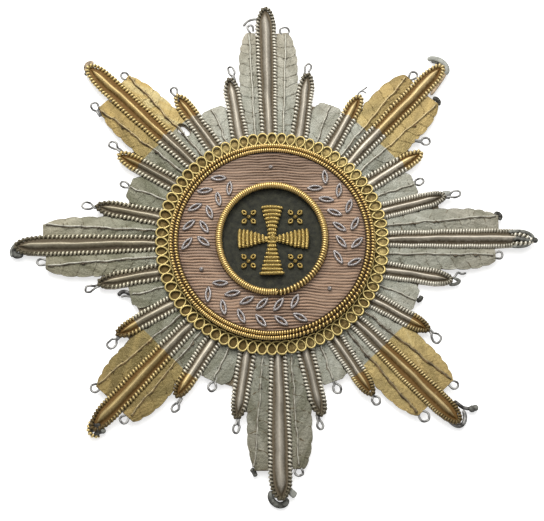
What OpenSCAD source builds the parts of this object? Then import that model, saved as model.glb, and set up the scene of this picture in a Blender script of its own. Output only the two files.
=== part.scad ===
// Embroidered breast star: metal thread, foil and cloth worked on a card.
// It lies on its back. Origin at the centre of the star on the back of the card,
// +Z out of the face, +Y towards the top arm. Bearings run counter-clockwise from +X.

/* [Star] */
// Distance from the centre to the tip of a long ray
arm_reach = 45; // [43:0.5:50]
// Distance from the centre to the tip of a short ray
short_reach = 31.5; // [29:0.5:34]
// How far the tips of the foil feathers stay behind the long ray's tip
feather_back = 6; // [4:0.5:9]
// Distance from the centre to the tip of a foil leaf between two arms
leaf_reach = 26.7; // [25:0.1:28]

/* [Card] */
// Thickness of the cloth-covered card
card_t = 1; // [0.8:0.1:2]
// How far the card's edge stays back from the edges of what lies on it
card_inset = 0.3; // [0.2:0.05:0.5]
// Width of the worn hole through the card beside the north-west arm
hole_w = 1.4; // [0.8:0.1:1.5]
// Length of the worn hole, away from the centre
hole_l = 2.4; // [1.6:0.1:3]
// Distance from the centre to the middle of the worn hole, along the arm
hole_reach = 25.6; // [24:0.1:27]
// How far the hole lies off the middle of the feather, towards the short ray
hole_shift = 0.3; // [0:0.05:0.5]

/* [Rays] */
// Widest distance between the middles of a long ray's border cord
long_w = 3; // [2.6:0.1:3.2]
// The same distance where the long ray comes out from the loops
long_foot_w = 2.1; // [1.8:0.1:2.5]
// Distance between the middles of a short ray's border cord near its tip
short_w = 2.3; // [2:0.1:2.6]
// The same distance where the short ray comes out from the loops
short_foot_w = 2.6; // [2.2:0.1:2.8]
// Length of the pointed arch at a long ray's tip
long_arch = 4.2; // [3:0.1:6]
// Length of the pointed arch at a short ray's tip
short_arch = 3.4; // [2.5:0.1:4.5]
// Height of a long ray's crest above the card
long_crest_h = 1.5; // [1:0.1:2.2]
// Height of a short ray's crest above the card
short_crest_h = 1.2; // [0.9:0.1:1.8]
// Height of a ray at its edges
flank_h = 0.35; // [0.2:0.05:0.6]
// Width of the rounded crest
crest_w = 0.7; // [0.4:0.1:1]

/* [Border cord] */
// Thickness of the twisted cord round the rays
cord_d = 0.85; // [0.6:0.05:1]

/* [Foil] */
// Thickness of the crimped foil and its padding at the edge
foil_t = 0.3; // [0.2:0.05:0.5]
// Extra height of the foil along its vein
foil_rise = 0.4; // [0.2:0.05:0.6]
// Distance from an arm's axis to the widest point of its feathers
foil_half_w = 5.4; // [4.8:0.1:5.8]
// Distance between two cross folds
fold_pitch = 1.8; // [1.5:0.1:3]
// Depth of a cross fold at the foil's edge
fold_depth = 0.14; // [0:0.02:0.2]
// Half width of the leaf between two arms
leaf_w = 2.6; // [1.8:0.1:3]

/* [Medallion] */
// Radius of the padded medallion
pad_r = 17.6; // [17:0.1:18]
// How far the ring of wire loops stands out from the medallion
loop_ring_w = 2.4; // [2.2:0.1:2.6]
// Outer width of a wire loop
loop_d = 1.9; // [1.7:0.05:2.1]
// Width of the opening in a loop
loop_eye_d = 1.1; // [0.9:0.05:1.3]
// Thickness of the looped wire
loop_wire = 0.35; // [0.25:0.05:0.5]
// Number of wire loops
loop_count = 72; // [60:1:80]
// Thickness of the two outer ropes
rope_d = 0.78; // [0.6:0.02:0.8]
// Height of the ledge that carries the outer ropes, above the card's back
rope_ledge_z = 2.78; // [2.5:0.02:3]
// Height of the pink field beside the outer ropes
field_edge_z = 3.2; // [3:0.05:3.5]
// Height of the pink field beside the centre rope
field_top_z = 4; // [3.8:0.05:4.3]
// Width of the rounding at the two edges of the pink field
field_rounding = 0.15; // [0.1:0.05:0.3]
// Thickness of the centre rope
centre_rope_d = 1.2; // [0.9:0.05:1.3]
// Half width of the centre rope's loop, to the middle of the rope
centre_rope_x = 9; // [8.8:0.05:9.2]
// Half height of the centre rope's loop, to the middle of the rope
centre_rope_y = 9.55; // [9.3:0.05:9.7]
// Radius of the charcoal cloth disc
disc_r = 9.2; // [9:0.05:9.25]
// Height of the charcoal cloth above the card's back
disc_z = 3.6; // [3.3:0.05:3.7]

/* [Cross] */
// Length of an arm of the cross
cross_arm = 6.05; // [5.4:0.05:6.4]
// Width of an arm at its end
cross_end_w = 3.7; // [3:0.1:4]
// Width of an arm at the middle of the cross
cross_mid_w = 1.5; // [1.2:0.1:2]
// Thickness of the purl ridges
ridge_d = 0.52; // [0.4:0.02:0.54]
// Distance between two ridges
ridge_pitch = 0.64; // [0.58:0.02:0.8]
// Thickness of the felt under the ridges
cross_felt_t = 0.35; // [0.3:0.05:0.5]

/* [Raised ornament] */
// Bare edge of the pink field on each side of the laurel
laurel_margin = 0.4; // [0.3:0.05:0.6]
// Angle round the medallion between two pairs of laurel leaves
laurel_pitch = 13.4; // [13:0.2:15]
// Width of a laurel leaf
laurel_w = 1.2; // [1:0.1:1.3]
// Thickness of the purl of the raised ornament
purl_d = 0.42; // [0.3:0.02:0.45]
// Angle between a leaf and the line round the medallion
laurel_splay = 45; // [40:1:50]
// Distance between the feet of a pair of leaves
laurel_stem = 0.7; // [0.6:0.05:0.8]
// Distance from the middle of the cross to a quarter's rosette, along each axis
rosette_off = 3.95; // [3.8:0.05:4.1]
// Width of a rosette
rosette_w = 3.5; // [3:0.1:3.6]
// Width of a rosette's petal
petal_w = 0.96; // [0.86:0.02:1]
// Width of the knots between the laurel sprays and in the middle of each rosette
knot_d = 0.84; // [0.7:0.02:1]
// Height of the knot
knot_h = 0.6; // [0.4:0.05:0.8]

/* [Sewing loops] */
// Outer width of a sewing loop
sew_loop_d = 1.6; // [1.2:0.1:1.8]
// Thickness of its wire
sew_wire = 0.22; // [0.15:0.01:0.3]

/* [Fit] */
// Clearance between neighbouring pieces
gap = 0.05; // [0.03:0.01:0.08]
// Distance between the medallion and the feet of the rays round it
ring_clearance = 0.15; // [0.1:0.05:0.3]
// Distance between the feet of the rays and the feet of the foil pieces
foil_setback = 1.2; // [1:0.1:1.5]

/* [Hidden] */
// Long rays. Columns: name, bearing at the loops and at the tip as offsets from the arm,
// reach as a share of arm_reach, width as a share of long_w
LONG = [
    ["e",  2.1,  1.2, 0.982, 0.92],
    ["ne", 2.8,  2.6, 1.0,   0.94],
    ["n",  1.5,  1.6, 0.991, 0.98],
    ["nw", -1.8, -0.3, 1.035, 1.02],
    ["w",  0,    0.7, 0.984, 1.0],
    ["sw", 1.3,  2.3, 0.982, 1.0],
    ["s",  3,    1.9, 0.987, 1.08],
    ["se", 0.6,  0,   0.982, 1.02]
];
// Short rays, a clockwise and a counter-clockwise one for each arm. Columns for each:
// bearing at the loops and at the tip as offsets from the arm, reach as a share of short_reach
SHORT = [
    [[-13.9, -12, 1.003],   [17, 16.1, 0.994]],
    [[-12.2, -12.4, 0.99],  [14.7, 15.4, 1.006]],
    [[-13.7, -11.3, 1.029], [16, 13.8, 1.01]],
    [[-15.4, -13.4, 1.029], [12.4, 13.6, 1.003]],
    [[-13.7, -12.6, 0.994], [14.9, 13.6, 0.975]],
    [[-12.6, -13.2, 0.984], [14.9, 14.3, 1]],
    [[-12.1, -10.8, 0.994], [16.4, 15.3, 0.997]],
    [[-12.9, -12.7, 1.003], [14.4, 14.9, 0.978]]
];
// Feathers, a clockwise and a counter-clockwise one for each arm. Columns for each: the vein's
// tip beside the axis as a share of foil_half_w, its reach as a share of feather_reach, and the
// feather's widest point as a share of foil_half_w
FEATHER = [
    [[0.54, 0.977, 1],    [0.76, 0.997, 1.02]],
    [[0.76, 0.99, 1.09],  [0.61, 0.997, 1]],
    [[0.65, 1.005, 1],    [0.56, 1.01, 0.91]],
    [[0.7, 1.02, 0.95],   [0.78, 1.005, 1.02]],
    [[0.69, 1.005, 0.94], [0.67, 0.99, 1.04]],
    [[0.83, 0.98, 1.09],  [0.61, 0.987, 1.06]],
    [[0.8, 1.005, 1],     [0.57, 1, 1]],
    [[0.74, 0.985, 1.04], [0.78, 0.982, 1.09]]
];
// The leaf that follows each arm. Columns: bearing of its tip as an offset from the middle
// between two arms, reach as a share of leaf_reach
LEAF = [
    [1.5, 1.01], [0.5, 1.03], [0.6, 1.01], [0, 1],
    [-1.5, 0.965], [0.4, 0.975], [0.7, 0.985], [0.4, 0.99]
];
// Sewing loops of each arm and of the leaf after it, as shares of sew_loop_d, 0 where one is
// torn off or bent flat. Columns: clockwise and counter-clockwise short ray, clockwise and
// counter-clockwise feather, leaf
LOOPS = [
    [0,    0.9,  0.9,  0,    0.95],
    [0.95, 0,    0,    1,    0],
    [0.85, 0.85, 1,    0.95, 0],
    [0.95, 0.95, 0.95, 1,    0.85],
    [1.1,  0.95, 0,    0.9,  0.8],
    [1.1,  0.9,  1,    0.95, 1],
    [1,    0.8,  0,    1,    1.05],
    [0.95, 1,    1.1,  1,    0]
];
// Sprays of laurel on the pink field. Columns: bearing of the first pair of leaves, pairs
SPRAYS = [[131, 5], [224, 6], [346, 6]];
// Bearings of the knots between the sprays
KNOTS = [91, 204, 318];
// Distance of a feather's outer edge from the axis along it, as a share of its widest point
FOIL_EDGE = [[0, 1], [0.76, 1], [0.86, 0.95], [0.94, 0.86], [1, 0.76]];
// Half width of a leaf along it, as a share of its full half width
LEAF_EDGE = [[0, 1], [0.8, 1], [0.92, 0.92], [1, 0.65]];
// Shares of a ray's straight stretch, and angles round the arch at its tip
FLANK = [0.4, 0.75];
ARCH = [0, 32, 58, 78];
// Share of a ray's straight stretch over which its width changes
TAPER = 0.7;
// Shares of its height that a crest loses at its shoulders and at the tip of the ray
SHOULDER_DROP = 0.12;
TIP_DROP = 0.5;
// Shares of a short ray and of a feather where the card's outline turns
SHORT_TURNS = [0.6, 0.8, 0.93];
SHORT_INNER_TURN = 0.9;
FOIL_TURNS = [0.62, 0.74, 0.86, 0.94];
LONG_TURN = 0.93;
// Sides of a cord's section, and angles of its loop where the centre rope is swept
CORD_SIDES = 6;
ROPE_SIDES = 8;
ROPE_STEPS = 36;

ARMS = [0 : 7];
NORTH_WEST = 3;
SIDES = [0, 1];
loop_ring_r = pad_r + loop_ring_w;
feather_reach = arm_reach - feather_back;
foot_r = pad_r + ring_clearance;
foil_foot_r = foot_r + foil_setback;
under_loops = loop_ring_r - foot_r;
card_z = card_t + gap;
loop_z = card_z + cord_d + gap;
cord_half = cord_d / 2;
beside_cord = cord_half + gap;

silver = [0.68, 0.67, 0.61];
gilt = [0.74, 0.6, 0.3];
rope_gold = [0.78, 0.62, 0.27];
function arm_colour(i) = i % 2 == 1 ? gilt : silver;

function polar(r, a) = [r * cos(a), r * sin(a)];
function unit(v) = v / norm(v);
function left(v) = [-v.y, v.x];
function reversed(l) = [for (i = [len(l) - 1 : -1 : 0]) l[i]];

// A ray whose axis runs from the edge of the loops to its tip, carried on under the loops
function ray(seen_a, tip_a, reach, foot_w, full_w, arch, crest) =
    let(seen = polar(loop_ring_r, seen_a))
    let(tip = polar(reach, tip_a))
    let(way = unit(tip - seen))
    let(start = seen - way * under_loops)
    [start, way, norm(tip - start) - cord_half, foot_w, full_w, arch, crest];

function start_of(r) = r[0];
function way_of(r) = r[1];
function length_of(r) = r[2];
function foot_w_of(r) = r[3];
function full_w_of(r) = r[4];
function arch_of(r) = r[5];
function crest_of(r) = r[6];

function long_ray_of(i) = ray(
    45 * i + LONG[i][1], 45 * i + LONG[i][2], LONG[i][3] * arm_reach,
    long_foot_w, LONG[i][4] * long_w, long_arch, long_crest_h);

function short_ray_of(i, s) =
    let(row = SHORT[i][s])
    ray(45 * i + row[0], 45 * i + row[1], row[2] * short_reach,
        short_foot_w, short_w, short_arch, short_crest_h);

// World point at a distance along and beside a ray's axis, and the same pair for a world point
function on_ray(r, u, v) = start_of(r) + way_of(r) * u + left(way_of(r)) * v;
function along(r, p) = (p - start_of(r)) * way_of(r);
function beside(r, p) = (p - start_of(r)) * left(way_of(r));

// Half the distance between the border cords, at a distance from the foot
function half_w(r, u) =
    let(straight = length_of(r) - arch_of(r))
    let(over = max(0, u - straight) / arch_of(r))
    let(full = foot_w_of(r) + (full_w_of(r) - foot_w_of(r)) * min(1, u / (TAPER * straight)))
    full / 2 * sqrt(max(0, 1 - over * over));

// Half of a ray's border line: rows of [distance from the foot, half width], moved in by inset
function border(r, inset) =
    let(straight = length_of(r) - arch_of(r))
    concat(
        [for (u = concat([0, under_loops], straight * FLANK)) [u, half_w(r, u) - inset]],
        [for (a = ARCH) [
            straight + (arch_of(r) - inset) * sin(a),
            (full_w_of(r) / 2 - inset) * cos(a)
        ]]
    );

// Solid through a list of rings with equally many points each
module loft(rings) {
    n = len(rings[0]);
    last = len(rings) - 1;
    polyhedron(
        points = [for (ring = rings) for (p = ring) p],
        faces = concat(
            [[for (k = [0 : n - 1]) k]],
            [for (j = [0 : last - 1]) for (k = [0 : n - 1])
                [j * n + k, (j + 1) * n + k, (j + 1) * n + (k + 1) % n]],
            [for (j = [0 : last - 1]) for (k = [0 : n - 1])
                [j * n + k, (j + 1) * n + (k + 1) % n, j * n + (k + 1) % n]],
            [[for (k = [n - 1 : -1 : 0]) last * n + k]]
        ));
}

function raised(p, z) = [p.x, p.y, z];

// Crest height along a ray: low under the loops, full beyond them, sloping down to the tip
function crest_z(r, u) =
    let(rise = min(1, max(0, u - under_loops) / under_loops))
    let(fall = max(0, u - length_of(r) + arch_of(r)) / arch_of(r))
    card_z + cord_d + (crest_of(r) - cord_d) * rise * (1 - TIP_DROP * fall * fall);

// Padded ray with a rounded crest, inside its border cord
module padded_ray(r) {
    rows = border(r, beside_cord);
    loft([for (row = rows)
        let(w = row[1])
        let(c = min(crest_w / 2, 0.5 * w))
        let(top = crest_z(r, row[0]))
        let(shoulder = top - SHOULDER_DROP * (top - card_z))
        [
            raised(on_ray(r, row[0], -w), card_z),
            raised(on_ray(r, row[0], w), card_z),
            raised(on_ray(r, row[0], w), card_z + flank_h),
            raised(on_ray(r, row[0], c), shoulder),
            raised(on_ray(r, row[0], 0), top),
            raised(on_ray(r, row[0], -c), shoulder),
            raised(on_ray(r, row[0], -w), card_z + flank_h)
        ]
    ]);
}

// Tube swept along a flat list of points at one height
module flat_cord(path, z, d, sides) {
    last = len(path) - 1;
    loft([for (j = [0 : last])
        let(way = unit(path[min(last, j + 1)] - path[max(0, j - 1)]))
        [for (k = [0 : sides - 1])
            let(a = 360 * (k + 0.5) / sides)
            raised(path[j] + left(way) * d / 2 * cos(a), z + d / 2 * sin(a))]
    ]);
}

// Border cord: up the clockwise side of a ray, round its tip and down the other side
module border_cord(r) {
    rows = border(r, 0);
    path = concat(
        [for (row = rows) on_ray(r, row[0], -row[1])],
        [on_ray(r, length_of(r), 0)],
        [for (row = reversed(rows)) on_ray(r, row[0], row[1])]
    );
    flat_cord(path, card_z + cord_half, cord_d, CORD_SIDES);
}

module long_ray(i) {
    color(arm_colour(i)) padded_ray(long_ray_of(i));
}

module long_cord(i) {
    color(arm_colour(i)) border_cord(long_ray_of(i));
}

module short_rays(i) {
    for (s = SIDES)
        color(arm_colour(i)) padded_ray(short_ray_of(i, s));
}

module short_cords(i) {
    for (s = SIDES)
        color(arm_colour(i)) border_cord(short_ray_of(i, s));
}

// Distance from a ray's axis to the near side of another ray's border cord, at a distance
// from the first ray's foot, or far away past the other ray's tip
function clear_of(r, other, u) =
    let(foot = start_of(other))
    let(tip = on_ray(other, length_of(other), 0))
    let(u0 = along(r, foot))
    let(u1 = along(r, tip))
    let(share = (u - u0) / (u1 - u0))
    let(middle = abs(beside(r, foot) + (beside(r, tip) - beside(r, foot)) * share))
    let(lean = way_of(r) * way_of(other))
    share > 1 ? 99 : middle - (half_w(other, share * length_of(other)) + beside_cord) / lean;

// The vein of a feather, in its arm's own distances along and beside the axis
function vein_foot(i, s) =
    let(r = long_ray_of(i))
    let(u = foil_foot_r - foot_r)
    let(inner = half_w(r, u) + beside_cord)
    [u, (inner + clear_of(r, short_ray_of(i, s), u)) / 2];
function vein_tip(i, s) =
    [FEATHER[i][s][1] * feather_reach - foot_r, FEATHER[i][s][0] * foil_half_w];

// Rings of a feather from the loops to its tip: foil that fills the space between the long
// ray's cord and the short ray's cord, then narrows to a blunt end at the tip of its vein
function feather_rings(i, s) =
    let(r = long_ray_of(i))
    let(foot = vein_foot(i, s))
    let(tip = vein_tip(i, s))
    let(turn = 2 * s - 1)
    let(widest = FEATHER[i][s][2] * foil_half_w)
    let(folds = 2 * round((tip[0] - foot[0]) / fold_pitch / 2))
    [for (k = [0 : folds])
        let(f = k / folds)
        let(u = foot[0] + (tip[0] - foot[0]) * f)
        let(vein = foot[1] + (tip[1] - foot[1]) * f)
        let(fold = k % 2 == 0 ? 0 : fold_depth)
        let(cord_side = half_w(r, u) + beside_cord)
        let(inner = k == folds ? (cord_side + vein) / 2 : cord_side)
        let(edge = max(vein + foil_t, widest * lookup(f, FOIL_EDGE) - fold))
        let(outer = min(edge, clear_of(r, short_ray_of(i, s), u)))
        let(ring = [
            raised(on_ray(r, u, turn * inner), card_z),
            raised(on_ray(r, u, turn * outer), card_z),
            raised(on_ray(r, u, turn * outer), card_z + foil_t),
            raised(on_ray(r, u, turn * vein), card_z + foil_t + foil_rise - fold),
            raised(on_ray(r, u, turn * inner), card_z + foil_t)
        ])
        s == 1 ? ring : reversed(ring)];

module feathers(i) {
    for (s = SIDES)
        color(arm_colour(i)) difference() {
            loft(feather_rings(i, s));
            if (i == NORTH_WEST && s == 0)
                worn_hole();
        }
}

// Worn hole with round ends, through the card and through the foil between the north-west
// arm's long ray and its clockwise short ray
module worn_hole() {
    r = long_ray_of(NORTH_WEST);
    u = hole_reach - foot_r;
    near = half_w(r, u) + beside_cord;
    far = clear_of(r, short_ray_of(NORTH_WEST, 0), u);
    half_l = (hole_l - hole_w) / 2;
    depth = card_t + foil_t + foil_rise + 4 * gap;
    way = way_of(r);
    translate(raised(on_ray(r, u, -(near + far) / 2 - hole_shift), -gap))
        rotate(atan2(way.y, way.x)) {
            for (x = [-half_l, half_l])
                translate([x, 0, 0]) cylinder(d = hole_w, h = depth, $fn = 48);
            translate([-half_l, -hole_w / 2, 0]) cube([2 * half_l, hole_w, depth]);
        }
}

// Leaf between an arm and the next one, between the cords of their nearest short rays
module gap_leaf(i) {
    before = short_ray_of(i, 1);
    after = short_ray_of((i + 1) % 8, 0);
    tip = leaf_tip(i, 0);
    foot = (start_of(before) + start_of(after)) / 2;
    start = foot + unit(foot) * (foil_foot_r - norm(foot));
    vein = [start, unit(tip - start), norm(tip - start)];
    rings = [for (f = [0, 0.3, 0.55, 0.75, 0.92, 1])
        let(u = f * length_of(vein))
        let(edge = leaf_w * lookup(f, LEAF_EDGE))
        let(far = min(edge, clear_of(vein, after, u)))
        let(near = min(edge, clear_of(vein, before, u)))
        let(top = card_z + foil_t)
        [
            raised(on_ray(vein, u, -near), card_z),
            raised(on_ray(vein, u, far), card_z),
            raised(on_ray(vein, u, far), top),
            raised(on_ray(vein, u, 0), top + foil_rise / 2),
            raised(on_ray(vein, u, -near), top)
        ]];
    color(silver) loft(rings);
}

// Half of an arm's outline on the card, from the outside in: round the short ray's tip, down
// to where the feather leaves it, along the feather's edge, and up the long ray's side
function card_side(i, s) =
    let(turn = 2 * s - 1)
    let(long = long_ray_of(i))
    let(short = short_ray_of(i, s))
    let(past = cord_half - card_inset)
    let(foot = vein_foot(i, s))
    let(tip = vein_tip(i, s))
    let(span = tip[0] - foot[0])
    let(widest = FEATHER[i][s][2] * foil_half_w)
    let(meet = foot[0] + 0.5 * span)
    let(inner_turn = SHORT_INNER_TURN * length_of(short))
    let(long_turn = LONG_TURN * length_of(long))
    concat(
        [for (f = SHORT_TURNS) on_ray(short, f * length_of(short),
            turn * (half_w(short, f * length_of(short)) + past))],
        [on_ray(short, length_of(short) + past, 0)],
        [on_ray(short, inner_turn, -turn * (half_w(short, inner_turn) + past))],
        [on_ray(long, meet, turn * (min(widest, clear_of(long, short, meet)) - card_inset))],
        [for (f = FOIL_TURNS) on_ray(long, foot[0] + f * span,
            turn * (widest * lookup(f, FOIL_EDGE) - fold_depth - card_inset))],
        [on_ray(long, tip[0] - card_inset, turn * tip[1])],
        [on_ray(long, tip[0] - 2 * card_inset, turn * (half_w(long, tip[0]) + past))],
        [on_ray(long, long_turn, turn * (half_w(long, long_turn) + past))]
    );

// Tip of the leaf after an arm, or a point that far in from it
function leaf_tip(i, inset) = polar(LEAF[i][1] * leaf_reach - inset, 45 * i + 22.5 + LEAF[i][0]);

// Card: one outline round all arms, each from its clockwise side over its tip to the other
module backing() {
    outline = [for (i = ARMS) each concat(
        card_side(i, 0),
        [on_ray(long_ray_of(i), length_of(long_ray_of(i)) + cord_half - card_inset, 0)],
        reversed(card_side(i, 1)),
        [leaf_tip(i, card_inset)]
    )];
    color([0.5, 0.45, 0.36]) difference() {
        linear_extrude(card_t) polygon(outline);
        worn_hole();
    }
}

// Flat coil of wire laid as a ring of open loops
module loop_ring() {
    middle_r = loop_ring_r - loop_d / 2;
    color(rope_gold) translate([0, 0, loop_z]) linear_extrude(loop_wire) difference() {
        union() {
            circle(r = middle_r, $fn = 180);
            for (k = [0 : loop_count - 1])
                rotate(360 * k / loop_count) translate([middle_r, 0])
                    circle(d = loop_d, $fn = 32);
        }
        circle(r = foot_r, $fn = 180);
        for (k = [0 : loop_count - 1])
            rotate(360 * k / loop_count) translate([middle_r, 0])
                circle(d = loop_eye_d, $fn = 24);
    }
}

// Ring of round rope lying on a ledge
module rope_ring(r, d, z) {
    color(rope_gold) translate([0, 0, z + gap + d / 2])
        rotate_extrude($fn = 180) translate([r, 0]) circle(d = d, $fn = 24);
}

module rope_outer() {
    rope_ring(pad_r - rope_d / 2, rope_d, rope_ledge_z);
}

module rope_inner() {
    rope_ring(pad_r - 1.5 * rope_d - gap, rope_d, rope_ledge_z);
}

// Padded ring of laid thread, with a ledge on each side for the ropes
field_out_r = pad_r - 2 * rope_d - 3 * gap;
field_in_r = centre_rope_y + centre_rope_d / 2 + gap;
centre_ledge_z = disc_z + gap;
module pink_field() {
    color([0.72, 0.53, 0.45]) rotate_extrude($fn = 180) polygon([
        [disc_r + gap, card_z],
        [pad_r, card_z],
        [pad_r, rope_ledge_z],
        [field_out_r, rope_ledge_z],
        [field_out_r, field_edge_z - field_rounding],
        [field_out_r - field_rounding, field_edge_z],
        [field_in_r + field_rounding, field_top_z],
        [field_in_r, field_top_z - field_rounding],
        [field_in_r, centre_ledge_z],
        [disc_r + gap, centre_ledge_z]
    ]);
}

module centre_field() {
    color([0.2, 0.22, 0.22]) translate([0, 0, card_z])
        cylinder(r = disc_r, h = disc_z - card_z, $fn = 180);
}

// Oval ring of thick rope round the centre
module rope_centre() {
    oval = [for (k = [0 : ROPE_STEPS - 1])
        [centre_rope_x * cos(360 * k / ROPE_STEPS), centre_rope_y * sin(360 * k / ROPE_STEPS)]];
    middle_z = centre_ledge_z + gap + centre_rope_d / 2;
    color(rope_gold) closed_cord(oval, middle_z, centre_rope_d, ROPE_SIDES);
}

// Tube swept round a closed flat list of points
module closed_cord(path, z, d, sides) {
    n = len(path);
    rings = [for (j = [0 : n - 1])
        let(way = unit(path[(j + 1) % n] - path[(j + n - 1) % n]))
        [for (k = [0 : sides - 1])
            let(a = 360 * (k + 0.5) / sides)
            raised(path[j] + left(way) * d / 2 * cos(a), z + d / 2 * sin(a))]
    ];
    polyhedron(
        points = [for (ring = rings) for (p = ring) p],
        faces = [for (j = [0 : n - 1]) for (k = [0 : sides - 1]) for (half = [0, 1])
            let(a = j * sides + k)
            let(b = ((j + 1) % n) * sides + k)
            let(b_next = ((j + 1) % n) * sides + (k + 1) % sides)
            let(a_next = j * sides + (k + 1) % sides)
            half == 0 ? [a, b, b_next] : [a, b_next, a_next]]
    );
}

// Cross with arms that widen outwards: purl ridges laid across a felt plate
module cross() {
    half = cross_mid_w / 2;
    felt_z = disc_z + gap;
    ridges = floor((cross_arm - half) / ridge_pitch);
    color(rope_gold) union() {
        for (a = [0 : 90 : 270])
            rotate(a) {
                translate([0, 0, felt_z]) linear_extrude(cross_felt_t) polygon([
                    [0, -half], [cross_arm - ridge_d / 2, -cross_end_w / 2],
                    [cross_arm - ridge_d / 2, cross_end_w / 2], [0, half]
                ]);
                for (k = [0 : ridges - 1]) {
                    x = cross_arm - ridge_d / 2 - k * ridge_pitch;
                    w = cross_mid_w + (cross_end_w - cross_mid_w) * x / cross_arm;
                    translate([x, 0, felt_z + cross_felt_t]) rotate([90, 0, 0])
                        cylinder(d = ridge_d, h = w, center = true, $fn = 24);
                }
            }
    }
}

// Leaf-shaped loop of purl, pointing along +X from its foot at the origin
module purl_leaf(length, width, wire) {
    bow_r = (length * length + width * width) / 4 / width;
    sink = bow_r - width / 2;
    linear_extrude(wire) difference() {
        leaf_shape(length / 2, sink, bow_r);
        leaf_shape(length / 2, sink, bow_r - wire);
    }
}

module leaf_shape(x, sink, r) {
    intersection() {
        translate([x, sink]) circle(r = r, $fn = 64);
        translate([x, -sink]) circle(r = r, $fn = 64);
    }
}

// Sprays in the middle of the pink field: pairs of laurel leaves that point the same way
// round, and a knot between two sprays
module laurel() {
    field_w = field_out_r - field_in_r;
    slope = atan2(field_top_z - field_edge_z, field_w - 2 * field_rounding);
    leaf_l = (field_w / 2 - laurel_margin - laurel_stem / 2) / sin(laurel_splay);
    surface = [(field_in_r + field_out_r) / 2, 0, (field_top_z + field_edge_z) / 2 + 2 * gap];
    color(silver) {
        for (spray = SPRAYS) for (k = [0 : spray[1] - 1])
            rotate(spray[0] + k * laurel_pitch) translate(surface) rotate([0, slope, 0])
                for (side = [-1, 1])
                    translate([side * laurel_stem / 2, -leaf_l / 2, 0])
                        rotate(90 - side * laurel_splay) purl_leaf(leaf_l, laurel_w, purl_d);
        for (a = KNOTS)
            rotate(a) translate(surface) rotate([0, slope, 0])
                cylinder(d = knot_d, h = knot_h, $fn = 32);
    }
}

// Four rosettes, one in each quarter of the cross: four petals of purl round a knot
module rosettes() {
    petal_l = (rosette_w - knot_d) / 2 - gap;
    color(rope_gold) for (a = [45 : 90 : 315])
        rotate(a) translate([rosette_off * sqrt(2), 0, disc_z + gap]) {
            cylinder(d = knot_d, h = knot_h, $fn = 32);
            for (b = [45 : 90 : 315])
                rotate(b) translate([knot_d / 2 + gap, 0, 0]) purl_leaf(petal_l, petal_w, purl_d);
        }
}

// Open ring of wire that stands out past a tip, its opening towards the tip
module sewing_loop(tip, way, width) {
    opening = 60;
    middle = tip + way * (width / 2 + gap);
    if (width > 0)
        translate(raised(middle, card_z + sew_wire))
            rotate(atan2(way.y, way.x) - 180 + opening / 2)
                rotate_extrude(angle = 360 - opening, $fn = 48)
                    translate([(width - sew_wire) / 2, 0]) circle(d = sew_wire, $fn = 16);
}

module sewing_loops() {
    color([0.62, 0.6, 0.55]) for (i = ARMS) {
        long = long_ray_of(i);
        for (s = SIDES) {
            short = short_ray_of(i, s);
            tip = vein_tip(i, s);
            sewing_loop(on_ray(short, length_of(short) + cord_half, 0), way_of(short),
                LOOPS[i][s] * sew_loop_d);
            sewing_loop(on_ray(long, tip[0], (2 * s - 1) * tip[1]), way_of(long),
                LOOPS[i][2 + s] * sew_loop_d);
        }
        sewing_loop(leaf_tip(i, 0), unit(leaf_tip(i, 0)), LOOPS[i][4] * sew_loop_d);
    }
}

backing();
for (i = ARMS)
    gap_leaf(i);
for (i = ARMS)
    feathers(i);
for (i = ARMS)
    short_rays(i);
for (i = ARMS)
    short_cords(i);
for (i = ARMS)
    long_ray(i);
for (i = ARMS)
    long_cord(i);
loop_ring();
pink_field();
rope_outer();
rope_inner();
laurel();
centre_field();
rope_centre();
cross();
rosettes();
sewing_loops();
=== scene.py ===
"""Looks of the embroidered breast star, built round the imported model.

Lengths are in millimetres until a mesh is made. Bearings are in degrees, counter-clockwise from
+X. A table with a row for each arm has its rows in the order of ARMS.
"""
import math

import bpy
import numpy as np
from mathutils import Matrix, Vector
from mathutils.geometry import tessellate_polygon


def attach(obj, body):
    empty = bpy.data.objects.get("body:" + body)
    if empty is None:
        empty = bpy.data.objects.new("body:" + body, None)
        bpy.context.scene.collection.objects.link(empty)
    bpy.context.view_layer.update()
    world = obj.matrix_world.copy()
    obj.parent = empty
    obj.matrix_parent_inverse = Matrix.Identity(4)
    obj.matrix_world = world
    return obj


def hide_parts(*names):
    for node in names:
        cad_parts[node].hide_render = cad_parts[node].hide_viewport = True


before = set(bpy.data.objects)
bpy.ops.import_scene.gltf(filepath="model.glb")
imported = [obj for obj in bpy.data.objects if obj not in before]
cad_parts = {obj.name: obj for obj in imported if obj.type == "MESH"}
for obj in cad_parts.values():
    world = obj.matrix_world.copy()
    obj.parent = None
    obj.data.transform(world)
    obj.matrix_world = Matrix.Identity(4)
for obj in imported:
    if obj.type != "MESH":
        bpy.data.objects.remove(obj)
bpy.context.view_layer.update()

MM = 0.001
TURN = 2 * math.pi
UP = np.array([0, 0, 1.0])
rng = np.random.default_rng(7)

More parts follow.
